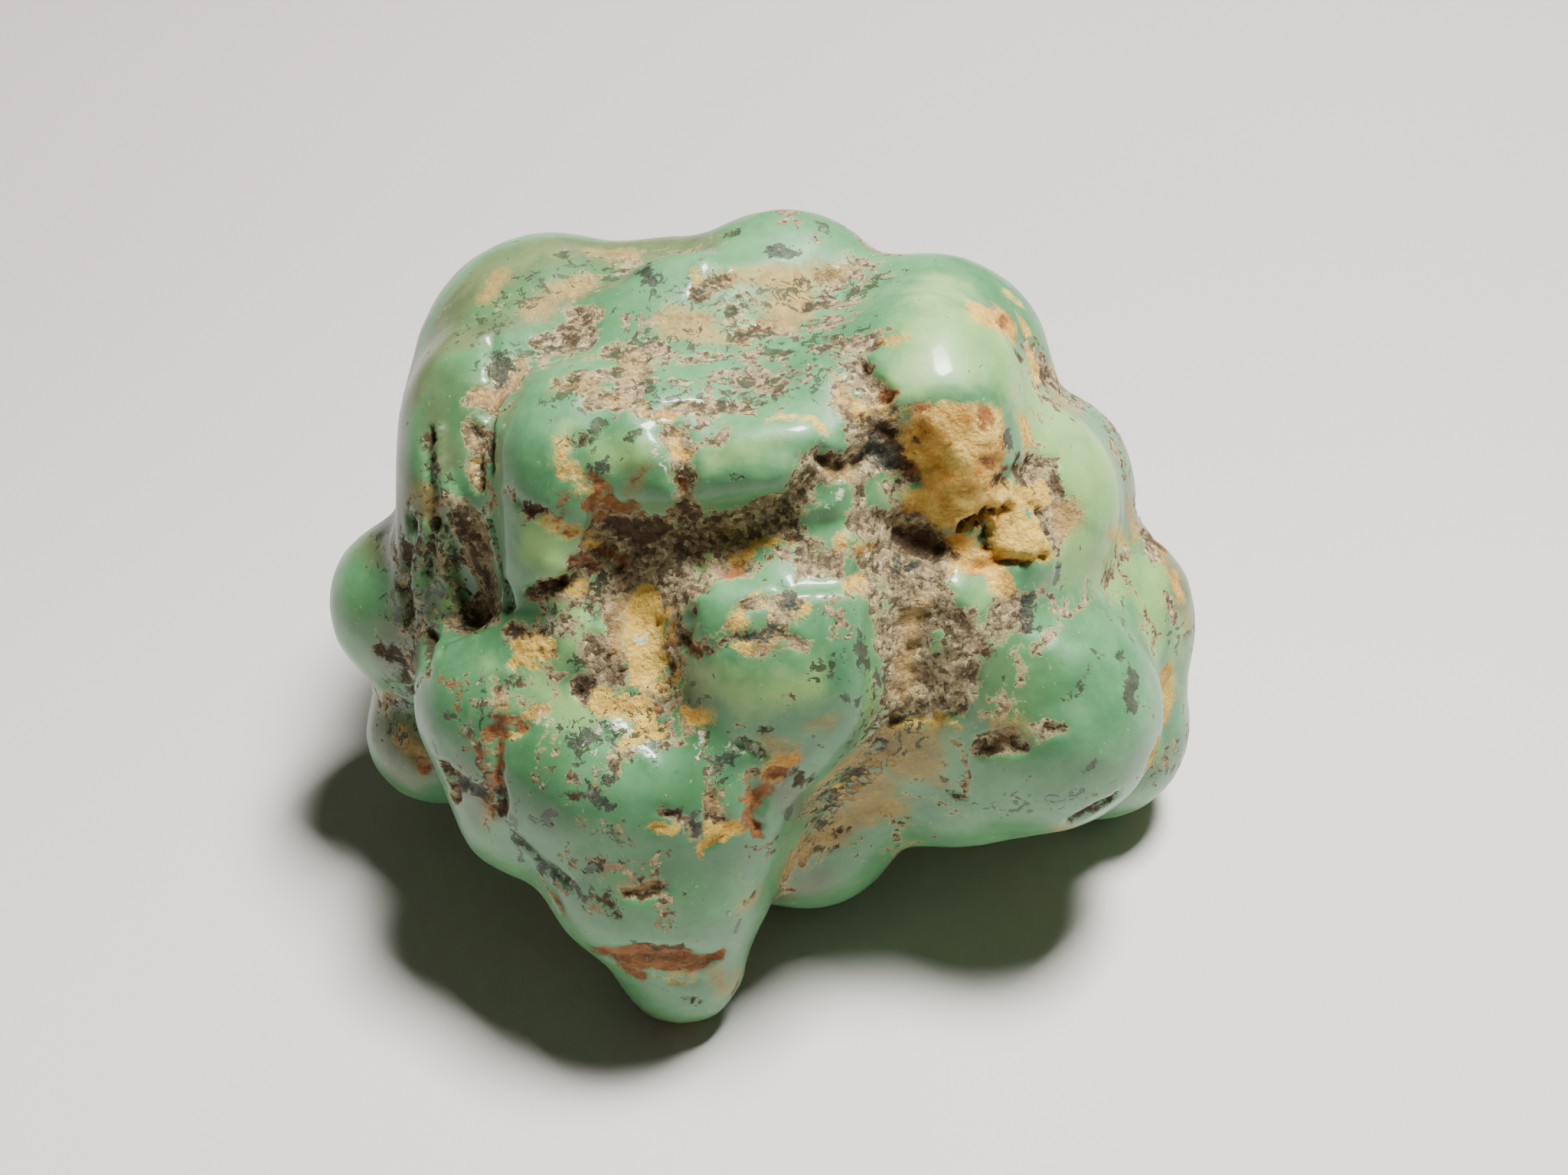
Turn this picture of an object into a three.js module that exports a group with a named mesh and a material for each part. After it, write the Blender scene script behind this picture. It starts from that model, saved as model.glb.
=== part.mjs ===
// Raw turquoise nugget: a tumbled, nodular stone that stands on three of its knobs.
// Millimetres, +Z up, -Y is its front. The lobes are placed about a rough middle, and the finished skin is
// then moved so that the origin is on the floor below the centre of the stone's box.
import * as THREE from "three";

const NODE_NAME = "turquoise_nugget";
const CELL = 1.18; // step of the grid that the stone's skin is sampled on
const MARGIN = 2.5; // free grid around the outermost lobes
const SEAM = 0.58; // how softly two lobes run together
const GROOVE_LIP = 1.1; // how softly a groove's edge is worn round
const FILL_LIP = 0.5; // how softly a pocket's filling meets its wall
const GRADIENT_STEP = 0.05; // half the span over which the skin's slope is measured
const PULL_STEPS = 2; // times in a row that a vertex is pulled onto the skin
const RELAX_PASSES = 2; // times that the pulled vertices are evened out
const RELAX_SHARE = 0.5; // how far a vertex then goes towards its neighbours' mean
const LEAST_SLOPE = 0.25; // keeps a pull short where the skin's slope is doubtful
const LONGEST_PULL = 0.3; // keeps a vertex out of a crease that is narrower than a cell
const JUST_INSIDE = -1e-3; // distance given to a grid point that closes a notch
const SWELL = 0.25; // height of the slow waves in the tumbled surface
const SWELL_WAVE = 5.2; // length of those waves over a full turn, divided by 2 pi
const LARGEST_GAP = 1e-30; // keeps the logarithm finite far from every lobe
const SMALLEST_SLOPE = 1e-9; // keeps the division finite at a lobe's centre
const SKIN_COLOUR = 0x6fae8c;
const SKIN_ROUGHNESS = 0.35;

// A lobe is an ellipsoid: its centre, its three half-axes, and its turn in degrees about X, Y and Z.
const LOBES = [
  { at: [0, 2, 15], half: [15, 11.5, 11.5], turn: [0, 0, 0] }, // heart of the stone
  // top
  { at: [-1, 5.4, 23], half: [9.5, 8.5, 5], turn: [0, 0, 0] }, // plateau
  { at: [7.4, 4, 25], half: [4.8, 6.6, 5], turn: [0, 8, 0] }, // right end of the plateau
  { at: [8.8, 10.4, 22.8], half: [6, 5.4, 5.4], turn: [0, 24, 0] }, // back right knob
  { at: [1, 13.6, 25], half: [5, 4, 4], turn: [0, 0, 0] }, // back knob
  { at: [-4.6, 14.2, 22.8], half: [4, 4, 4], turn: [0, 0, 0] }, // bridge between the two
  { at: [-10.6, 12.6, 20.8], half: [7.3, 7, 6.4], turn: [0, 0, 0] }, // back left knob
  { at: [-3, 9.8, 26.3], half: [5.2, 2.6, 2.4], turn: [0, -6, 18] }, // low ridge on the plateau
  // upper front
  { at: [-8.8, 1.2, 24], half: [3.8, 4.2, 4.4], turn: [0, 0, 0] }, // left brow
  { at: [-9.2, -0.6, 20.6], half: [3.4, 4, 4.2], turn: [0, 0, 0] }, // buttress under the left brow
  { at: [-4.2, 0.8, 25.2], half: [4.5, 3.6, 3.2], turn: [0, 0, 0] }, // middle brow
  { at: [0.9, -1, 26.3], half: [4, 2.2, 2.1], turn: [0, -10, 8] }, // polished ridge of the brow
  { at: [3.2, 2.6, 26.2], half: [2.9, 4, 2.6], turn: [0, 0, 0] }, // right brow
  { at: [-13, 6.5, 21.8], half: [4.4, 5, 4.9], turn: [0, 0, 15] }, // left shoulder
  { at: [-14.4, 3.6, 20.2], half: [2.8, 3.4, 4.4], turn: [0, 0, 0] }, // front end of the left shoulder
  { at: [-13.2, 9.6, 17.6], half: [5.4, 6, 7], turn: [0, 0, 0] }, // far left flank
  // left side
  { at: [-14.6, 1.4, 17], half: [1.5, 2, 4.6], turn: [8, 10, 0] }, // first fold
  { at: [-16.2, 2.2, 16.2], half: [1.4, 2, 4.2], turn: [8, 12, 0] }, // second fold
  { at: [-17, 4, 12.2], half: [5, 4.6, 4.6], turn: [0, 0, 0] }, // upper left knob
  { at: [-16, 1.4, 5.8], half: [4.8, 4.4, 3.9], turn: [0, 0, 0] }, // lower left knob
  // front
  { at: [-10.8, -3.5, 13.2], half: [5.6, 5.4, 5.6], turn: [0, 0, 0] }, // left cheek
  { at: [0.5, -3.2, 16.5], half: [7.4, 6, 6.2], turn: [20, 0, 0] }, // face
  { at: [-5, -7, 11.6], half: [7.6, 5.5, 6.4], turn: [25, 0, -4] }, // root of the front horn
  { at: [-10.6, -6.2, 9], half: [4.4, 4, 4.2], turn: [0, 0, 0] }, // swelling below the left cheek
  { at: [-5, -10, 7], half: [5.4, 4.1, 5.6], turn: [20, 0, 0] }, // front horn
  { at: [-4, -11.8, 2.8], half: [3.3, 2.9, 3.4], turn: [0, 0, 0] }, // tip of the horn
  { at: [2.4, -4.3, 5], half: [4.6, 4.3, 4.4], turn: [0, 0, 0] }, // knob below the saddle
  // right side
  { at: [13.2, -2.8, 11.5], half: [6.3, 5.8, 6.2], turn: [0, 0, 0] }, // right cheek
  { at: [9.4, -3.4, 8.8], half: [4.4, 4.4, 4.6], turn: [0, 0, 0] }, // jowl of the right cheek
  { at: [12.6, 4.4, 18.8], half: [4.8, 5.4, 5.4], turn: [0, 0, 0] }, // right shoulder
  { at: [14, 8.6, 16], half: [5.2, 5, 5.6], turn: [0, 0, 0] }, // its back end
  { at: [17, 4.6, 9.6], half: [5.5, 5, 6.6], turn: [0, 0, 0] }, // right back knob
  { at: [17.8, 2, 4.8], half: [5, 4.8, 5.1], turn: [0, 0, 0] }, // lower right knob, a foot
  // back and underside
  { at: [-9, 12, 10], half: [7.5, 6.5, 6.5], turn: [0, 0, 0] }, // left haunch
  { at: [8.5, 12, 12.5], half: [7.5, 6.5, 7.5], turn: [0, 0, 0] }, // right haunch
  { at: [0, 14.5, 16], half: [5.5, 4.5, 6], turn: [0, 0, 0] }, // spine between the two
  { at: [-1, 5, 8.4], half: [14, 8.5, 5.4], turn: [0, 0, 0] }, // belly
  { at: [-7.4, 8.6, 5], half: [6.4, 5.6, 5.4], turn: [0, 0, 20] }, // left back foot
  { at: [7.5, 10.6, 5.6], half: [6, 5.6, 5.3], turn: [0, 0, 0] }, // right back knob, clear of the floor
];

// A groove is a worn channel: the points that it follows and its radius.
const GROOVES = [
  // below the brow
  { radius: 1.5, path: [[-6.6, -4.6, 24], [-4.5, -4, 24], [-1.5, -4, 24], [2, -3.8, 24.6]] },
  { radius: 1.1, path: [[2, -3.8, 24.8], [4.2, -3, 26.2], [6, -1.6, 28]] },
  // crevice between the left brow and the left shoulder
  {
    radius: 0.9,
    path: [[-10.6, 6, 28], [-12, 3.2, 27], [-12.7, 0.6, 26.2], [-12.8, -1.6, 23.6], [-12.8, -2.2, 20]],
  },
  // recess under the left shoulder
  { radius: 1.6, path: [[-14, -1.4, 20.4], [-13.4, -1.4, 17.5]] },
  // lower edge of the buttress
  { radius: 0.7, path: [[-10.4, -4.6, 20.4], [-8.6, -4.8, 21], [-6.8, -4.6, 22]] },
  // hollow between the left cheek and the face
  { radius: 2.2, path: [[-6, -4.8, 23], [-5.2, -7.4, 21.4], [-4.4, -9.6, 19]] },
  // valley between the face and the right cheek
  { radius: 2, path: [[6.6, -4.4, 23.2], [7, -6.8, 20], [7, -8.4, 17], [5.6, -9.4, 14], [3.6, -9.4, 11]] },
  // pocket in the right shoulder
  { radius: 2.4, path: [[7.6, -1.8, 26], [9.6, -1.6, 25.4]] },
  { radius: 1.6, path: [[6.8, -2.8, 23.6], [12, -2.4, 22.4], [14, -1, 22.4]] },
];

// What fills the pocket stands proud of its floor.
const FILLS = [
  { at: [9, 0.8, 23.6], half: [3, 2.6, 2.8], turn: [0, 0, 0] }, // yellow lump
  { at: [12, -0.6, 20.6], half: [2, 2, 1.9], turn: [0, 0, 0] }, // yellow block
];

const radians = THREE.MathUtils.degToRad;

// Signed distance, near the surface, from a point to one lobe.
class Lobe {
  constructor({ at, half, turn }) {
    this.centre = new THREE.Vector3(...at);
    this.half = new THREE.Vector3(...half);
    this.back = new THREE.Quaternion().setFromEuler(new THREE.Euler(...turn.map(radians))).invert();
    this.unit = new THREE.Vector3();
    this.slope = new THREE.Vector3();
  }

  distance(point) {
    this.unit.copy(point).sub(this.centre).applyQuaternion(this.back).divide(this.half);
    this.slope.copy(this.unit).divide(this.half);
    const reach = this.unit.length();
    return (reach * (reach - 1)) / Math.max(this.slope.length(), SMALLEST_SLOPE);
  }
}

// Distance from a point to the channel that a groove's path clears.
class Groove {
  constructor({ path, radius }) {
    this.radius = radius;
    const points = path.map((p) => new THREE.Vector3(...p));
    this.runs = points.slice(1).map((end, i) => new THREE.Line3(points[i], end));
    this.nearest = new THREE.Vector3();
  }

  distance(point) {
    const gaps = this.runs.map((run) => run.closestPointToPoint(point, true, this.nearest).distanceTo(point));
    return Math.min(...gaps) - this.radius;
  }
}

const lobes = LOBES.map((l) => new Lobe(l));
const grooves = GROOVES.map((g) => new Groove(g));
const fills = FILLS.map((l) => new Lobe(l));

function softMax(a, b, width) {
  const overlap = Math.max(width - Math.abs(a - b), 0) / width;
  return Math.max(a, b) + (overlap * overlap * width) / 4;
}

// How far a point lies outside several lobes that run together.
function joined(parts, point) {
  const sum = parts.reduce((total, l) => total + Math.exp(-l.distance(point) / SEAM), 0);
  return -SEAM * Math.log(Math.max(sum, LARGEST_GAP));
}

// Three slow waves that cross one another.
function swell(point) {
  const { x, y, z } = point.clone().divideScalar(SWELL_WAVE);
  const waves = Math.sin(2 * x + y) + Math.sin(2 * y - z + 1) + Math.sin(2 * z + x + 2);
  return (SWELL * waves) / 2;
}

// Negative inside the stone, zero on its skin.
function stone(point) {
  const body = joined(lobes, point) + swell(point);
  const worn = grooves.reduce((f, g) => softMax(f, -g.distance(point), GROOVE_LIP), body);
  return -softMax(-worn, -joined(fills, point), FILL_LIP);
}

// The box that holds every lobe.
function reachOf(parts) {
  const box = new THREE.Box3();
  parts.forEach(({ at, half }) => {
    const centre = new THREE.Vector3(...at);
    box.expandByPoint(centre.clone().addScalar(Math.max(...half)));
    box.expandByPoint(centre.clone().addScalar(-Math.max(...half)));
  });
  return box.expandByScalar(MARGIN);
}

// Closes each notch narrower than a cell: where only two diagonal corners of a cell's side lie inside, the
// outer corner nearer to the skin is taken inside as well.
function closeNotches(values, stride) {
  const outside = (n) => values[n] >= 0;
  let closed = 0;
  values.forEach((_, here) => stride.forEach((u, axis) => {
    const v = stride[(axis + 1) % stride.length];
    const [a, b, c, d] = [here, here + u, here + u + v, here + v];
    if (c >= values.length || outside(a) !== outside(c) || outside(b) !== outside(d)) return;
    if (outside(a) === outside(b)) return;
    const open = outside(a) ? [a, c] : [b, d];
    values[values[open[0]] < values[open[1]] ? open[0] : open[1]] = JUST_INSIDE;
    closed++;
  }));
  if (closed > 0) closeNotches(values, stride);
}

// Samples the field on a grid, puts a vertex in each cell that the skin crosses, and a quad across each grid
// edge that it crosses.
function surfaceNet(field, box, cell) {
  const size = box.getSize(new THREE.Vector3()).divideScalar(cell).ceil().addScalar(1);
  const stride = [1, size.x, size.x * size.y];
  const values = new Float32Array(size.x * size.y * size.z);
  const point = new THREE.Vector3();
  const place = (i, j, k) => point.set(i, j, k).multiplyScalar(cell).add(box.min);
  const at = (i, j, k) => i * stride[0] + j * stride[1] + k * stride[2];
  for (let k = 0; k < size.z; k++)
    for (let j = 0; j < size.y; j++)
      for (let i = 0; i < size.x; i++) values[at(i, j, k)] = field(place(i, j, k));
  closeNotches(values, stride);

  const corners = [0, 1, 2, 3, 4, 5, 6, 7].map((c) => [c & 1, (c >> 1) & 1, (c >> 2) & 1]);
  const edges = [];
  corners.forEach((a, m) => corners.forEach((b, n) => {
    if (n > m && a.filter((v, axis) => v !== b[axis]).length === 1) edges.push([m, n]);
  }));

  const vertexOf = new Map();
  const vertices = [];
  for (let k = 0; k < size.z - 1; k++)
    for (let j = 0; j < size.y - 1; j++)
      for (let i = 0; i < size.x - 1; i++) {
        const held = corners.map(([a, b, c]) => values[at(i + a, j + b, k + c)]);
        if (held.every((v) => v < 0) || held.every((v) => v >= 0)) continue;
        const middle = new THREE.Vector3();
        let crossings = 0;
        for (const [m, n] of edges) {
          if (held[m] < 0 === held[n] < 0) continue;
          const share = held[m] / (held[m] - held[n]);
          middle.add(new THREE.Vector3(...corners[m]).lerp(new THREE.Vector3(...corners[n]), share));
          crossings++;
        }
        middle.divideScalar(crossings).add(new THREE.Vector3(i, j, k)).multiplyScalar(cell).add(box.min);
        vertexOf.set(at(i, j, k), vertices.push(middle) - 1);
      }

  const quads = [];
  for (let k = 1; k < size.z - 1; k++)
    for (let j = 1; j < size.y - 1; j++)
      for (let i = 1; i < size.x - 1; i++) {
        const here = at(i, j, k);
        for (let axis = 0; axis < 3; axis++) {
          const inside = values[here] < 0;
          if (inside === values[here + stride[axis]] < 0) continue;
          const u = stride[(axis + 1) % 3];
          const v = stride[(axis + 2) % 3];
          const ring = [here - u - v, here - v, here, here - u].map((cellIndex) => vertexOf.get(cellIndex));
          quads.push(inside ? ring : ring.reverse());
        }
      }
  return { vertices, quads };
}

// Moves a vertex along the field's slope until it lies on the skin.
function pullOntoSkin(vertex) {
  const slope = new THREE.Vector3();
  const pull = new THREE.Vector3();
  for (let step = 0; step < PULL_STEPS; step++) {
    ["x", "y", "z"].forEach((axis) => {
      const ahead = vertex.clone();
      const behind = vertex.clone();
      ahead[axis] += GRADIENT_STEP;
      behind[axis] -= GRADIENT_STEP;
      slope[axis] = (stone(ahead) - stone(behind)) / (2 * GRADIENT_STEP);
    });
    pull.copy(slope).multiplyScalar(-stone(vertex) / Math.max(slope.lengthSq(), LEAST_SLOPE));
    vertex.add(pull.clampLength(0, LONGEST_PULL));
  }
}

// Two triangles for each quad, cut along its shorter diagonal.
function triangles(vertices, quads) {
  return quads.flatMap(([a, b, c, d]) => {
    const acrossAC = vertices[a].distanceTo(vertices[c]);
    const acrossBD = vertices[b].distanceTo(vertices[d]);
    return acrossAC <= acrossBD ? [a, b, c, a, c, d] : [a, b, d, b, c, d];
  });
}

// Moves each vertex towards the mean of the vertices that share a quad side with it, so creases run evenly.
function relax(vertices, quads) {
  const sums = vertices.map(() => new THREE.Vector3());
  const counts = vertices.map(() => 0);
  quads.forEach((quad) => quad.forEach((v, n) => {
    const next = quad[(n + 1) % quad.length];
    sums[v].add(vertices[next]);
    counts[v]++;
  }));
  sums.forEach((sum, v) => vertices[v].lerp(sum.divideScalar(counts[v]), RELAX_SHARE));
}

// The stone's skin as a closed mesh, flat where its knobs meet the floor.
function stoneGeometry() {
  const { vertices, quads } = surfaceNet(stone, reachOf(LOBES), CELL);
  for (let pass = 0; pass < RELAX_PASSES; pass++) {
    vertices.forEach(pullOntoSkin);
    relax(vertices, quads);
  }
  vertices.forEach((vertex) => vertex.setZ(Math.max(vertex.z, 0)));
  const geometry = new THREE.BufferGeometry().setFromPoints(vertices);
  geometry.setIndex(triangles(vertices, quads));
  geometry.computeBoundingBox();
  const middle = geometry.boundingBox.getCenter(new THREE.Vector3());
  geometry.translate(-middle.x, -middle.y, 0);
  geometry.computeVertexNormals();
  return geometry;
}

const turquoise = new THREE.MeshStandardMaterial({ color: SKIN_COLOUR, roughness: SKIN_ROUGHNESS });
const nugget = new THREE.Mesh(stoneGeometry(), turquoise);
nugget.name = NODE_NAME;

const part = new THREE.Group();
part.add(nugget);

export default part;
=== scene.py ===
"""Raw turquoise nugget: the stone's fine skin, its finish with some painted light and shade, and a plain
studio to show it in.

Lengths are in millimetres in this file, and become metres where a mesh, a lamp or the camera is made.
"""

import logging
import math
import random
from dataclasses import dataclass
from enum import Enum
from typing import Dict, List, Sequence, Tuple, Union

import bmesh
import bpy
import numpy as np
from mathutils import Matrix, Vector, noise
from mathutils.bvhtree import BVHTree


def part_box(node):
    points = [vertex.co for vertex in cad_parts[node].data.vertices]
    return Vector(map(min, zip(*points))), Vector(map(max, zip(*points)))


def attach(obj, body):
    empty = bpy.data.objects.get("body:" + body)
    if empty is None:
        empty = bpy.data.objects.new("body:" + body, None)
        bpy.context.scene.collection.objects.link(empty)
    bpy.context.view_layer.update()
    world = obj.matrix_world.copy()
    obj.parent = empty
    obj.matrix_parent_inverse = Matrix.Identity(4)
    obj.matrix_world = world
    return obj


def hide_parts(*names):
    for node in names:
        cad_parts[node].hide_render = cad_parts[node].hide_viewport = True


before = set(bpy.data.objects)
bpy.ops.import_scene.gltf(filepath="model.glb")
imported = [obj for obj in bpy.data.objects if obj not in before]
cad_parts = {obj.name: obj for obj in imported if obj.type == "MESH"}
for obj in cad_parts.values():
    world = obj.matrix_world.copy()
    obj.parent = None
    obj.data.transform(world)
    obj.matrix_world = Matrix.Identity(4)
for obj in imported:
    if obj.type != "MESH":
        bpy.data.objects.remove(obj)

log = logging.getLogger("nugget")

HOLLOW = "hollow"
NODE = "turquoise_nugget"
MM = 0.001

Colour = Tuple[float, float, float]
Display = Tuple[int, int, int]
Place = Tuple[float, float]
Line = List[np.ndarray]
Part = Union["Value", bpy.types.NodeSocket, float, Tuple[float, ...]]


def linear(red: int, green: int, blue: int) -> Colour:
    """Turns a display colour into linear light.

    Args:
        red, green, blue: the channels, from 0 to 255.

    Returns:
        The same colour in linear light, from 0 to 1.
    """

    def channel(value: float) -> float:
        """Undoes the display curve of one channel."""
        share = value / 255.0
        return share / 12.92 if share <= 0.04045 else ((share + 0.055) / 1.055) ** 2.4

    return channel(red), channel(green), channel(blue)


# ---------------------------------------------------------------- what is on the stone


class Mark(Enum):
    """What a stroke leaves on the stone. The value names the skin attribute that holds it."""

    MATRIX = "matrix"
    ISLAND = "island"
    CRUMB = "crumb"
    PINK = "pink"
    CREAM = "cream"
    OCHRE = "ochre"
    RUST = "rust"
    # dark brown matrix, and painted shade in cracks, recesses and under the ochre lump
    BROWN = "brown_and_crevice_shade"
    SLATE = "slate"
    # pale mineral edges, and painted glints and sheen lines
    WHITE = "white_and_glint"
    SPECK = "speck"
    SPRAY = "spray"
    # pale green stone, and painted light that lightens faces turned to the viewer
    PALE_AND_LIT = "pale"
    # deep green stone, and painted shade on sides that turn from the light
    DEEP_AND_SHADED = "deep_and_shaded"
    # olive-grey stone, and painted shade on sides that turn from the light
    OLIVE_AND_SHADED = "olive_and_shaded"


class Band:
    """A band on the skin, or a round spot where it has one place.

    Places are read on the stone's front chart: the first number runs along +X from the stone's middle, and
    the second runs up the slope that faces the viewer, halfway between +Y and +Z.
    """

    def __init__(self, half_width: float, *numbers: float) -> None:
        """Makes a band.

        Args:
            half_width: from its middle line to its edge.
            numbers: both numbers of each place that its middle line joins, one place after another.
        """
        self.half_width = half_width
        self.places: Tuple[Place, ...] = tuple(zip(numbers[::2], numbers[1::2]))


@dataclass(frozen=True)
class Fill:
    """A hollow that fills up by a share along a band."""

    share: float
    band: Band


@dataclass(frozen=True)
class Relief:
    """A band that stands proud, or is sunk where its height is negative."""

    height: float
    band: Band
    sharp: bool = False


FILLS: Tuple[Fill, ...] = (
    Fill(0.8, Band(3.0, -3.6, 1.8, -1.6, 1.7, 0.6, 2, 2.4, 2.8)),
    Fill(0.75, Band(2.2, -13.6, 3.4, -13.2, 1.6, -12.8, 0)),
    Fill(0.6, Band(2.0, -15.6, 3, -15.6, 1, -15.4, -0.6)),
)

RELIEFS: Tuple[Relief, ...] = (
    # the groove under the brow, and the hollow at its left end
    Relief(0.2, Band(1.0, -6, 2.6, -4, 2.4)),
    Relief(-0.35, Band(1.0, 1.2, 0.1, 3, 0.1, 4.4, 0.2)),
    # the pocket beside the ochre lump
    Relief(-0.4, Band(1.0, 5, 7, 5.3, 6.5)),
    Relief(-0.5, Band(0.7, 4.2, 9.7, 4.9, 8.7, 5.3, 7.6)),
    Relief(-0.5, Band(0.7, 2.4, 5.4, 3.4, 5.2, 5, 5.7)),
    # the ochre lump, its shaded foot and the cracked cream block
    Relief(0.7, Band(2.0, 7.8, 6.4, 8.8, 5.6, 9.4, 6.4)),
    Relief(-0.3, Band(1.1, 6.1, 2.2, 7.7, 1.5)),
    Relief(-0.3, Band(0.75, 10.6, 4.4, 11.5, 5.2)),
    Relief(-1.1, Band(0.28, 8.9, 2.45, 9.4, 2.8, 9.9, 3.05), True),
    Relief(-1.1, Band(0.26, 9.95, 2.9, 10, 2.1, 10.02, 1.45), True),
    Relief(-0.5, Band(0.4, 9.8, 3.35, 10.9, 3.3)),
    Relief(-0.8, Band(0.35, 12.6, 3.2, 12.9, 2.7, 13.1, 2.1), True),
    Relief(0.35, Band(1.1, 10.8, 1.9, 12, 1.7)),
    Relief(-0.4, Band(0.35, 9.6, 0.8, 11.2, 0.9, 12.7, 1.1)),
    # edges in the middle of the face
    Relief(-0.05, Band(0.4, -1.2, -2.3, -0.2, -2.4, 0.9, -2.3)),
    Relief(-0.35, Band(0.5, -3, 0.9, -2.6, -0.4, -3.2, -1.4, -3.5, -2.6)),
    Relief(-0.3, Band(1.5, -5.6, -0.6, -5.4, -2.2, -5.3, -3.6)),
    Relief(0.25, Band(0.35, -7.2, -6, -6.4, -6.6, -5.9, -7.5, -5.2, -8)),
    Relief(-0.35, Band(0.5, -0.5, -8.6, -0.3, -9.8, -0.2, -11)),
    Relief(-0.3, Band(0.5, -1, -7.2, 0, -7.6)),
    # the crack between the left shoulder and the brow, its pits, and the one beside the lower cheek
    Relief(-0.45, Band(0.5, -12.7, 7.9, -12.5, 6.6, -12.3, 5.2)),
    Relief(-0.3, Band(0.55, -13.2, 7, -13.1, 5.8, -13, 4.6)),
    Relief(-0.35, Band(0.5, -12.5, 2.8, -12.2, 1.1, -11.8, -0.1, -11.7, -1.2)),
    Relief(-0.6, Band(0.4, -10.7, -0.35, -9.6, -0.15, -8.5, 0.35)),
    Relief(-0.35, Band(0.3, -15.2, -3.3, -14.2, -2.5, -13, -2)),
    # the folded hollow on the left
    Relief(0.3, Band(1.0, -14.1, 3, -13.5, 1.6, -12.9, -0.1)),
    Relief(0.3, Band(0.4, -15.1, 7, -15, 5.6, -14.7, 4.3, -14.2, 3.3)),
    Relief(0.25, Band(0.4, -15.4, 5.4, -15.1, 4.4, -14.8, 3.7)),
    Relief(-0.35, Band(0.4, -15.4, 6.9, -15.6, 5.4, -15.3, 4.2, -15.3, 2.8)),
    Relief(0.4, Band(0.8, -15.1, 2.4, -15.2, 0.8, -14.9, -1)),
    Relief(-0.25, Band(0.4, -15.4, 2.8, -15.7, 1.5, -15.8, 0.3)),
    Relief(0.3, Band(0.6, -15.9, 2.6, -16.3, 1.2, -16.5, -0.6)),
    Relief(-0.35, Band(0.5, -16.5, 3, -16.8, 1.6, -17.3, 0, -17.2, -1.6)),
    Relief(-0.4, Band(0.8, -16, -2.4, -15.9, -3.5)),
    Relief(0.3, Band(1.2, 1.8, 3.2, 3, 3.6)),
    # the ledge under the groove, and the brow's humps and dips
    Relief(-0.2, Band(1.6, -1.6, 0.7, 0.4, 0.9, 2.6, 0.7, 4.4, 0.8)),
    Relief(-0.3, Band(0.8, -3.9, 6.5, -3.6, 5.2, -3.5, 4)),
    Relief(-0.2, Band(0.9, -8.2, 6, -8, 4.6)),
    Relief(0.3, Band(1.5, -1.2, 6.2, 1.4, 6.6)),
    Relief(0.25, Band(1.3, -5.8, 6.8, -5.4, 5.6)),
    # the knob beyond the saddle, and the crack behind the left shoulder
    Relief(0.5, Band(2.0, -5.2, 15, -3.2, 15.2)),
    Relief(-0.4, Band(0.5, -12.8, 11.4, -12.4, 9.8, -12.7, 8)),
    Relief(0.5, Band(2.4, 13.2, -3, 14, -3.6)),
    # lower down
    Relief(-0.3, Band(0.6, -12.1, -6.4, -12.1, -8, -12.1, -10)),
    Relief(-0.4, Band(0.5, -14.7, -8.7, -14.5, -9.7)),
    Relief(-0.35, Band(0.5, -11.4, -11.8, -10.4, -12.9, -9, -13.6)),
    Relief(-0.12, Band(0.8, -5.9, -14, -4.7, -14)),
    Relief(-0.3, Band(0.6, -7.5, -17.7, -5.5, -17.3, -3.5, -17.4, -2.4, -17.6)),
    Relief(-0.25, Band(0.8, 10.2, -7.4, 11.4, -7.4)),
    Relief(-0.3, Band(0.6, 14.6, -11.3, 15.6, -10.6, 16.5, -10.1)),
    Relief(-0.3, Band(0.6, 6, -6.3, 8.4, -6)),
)

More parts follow.
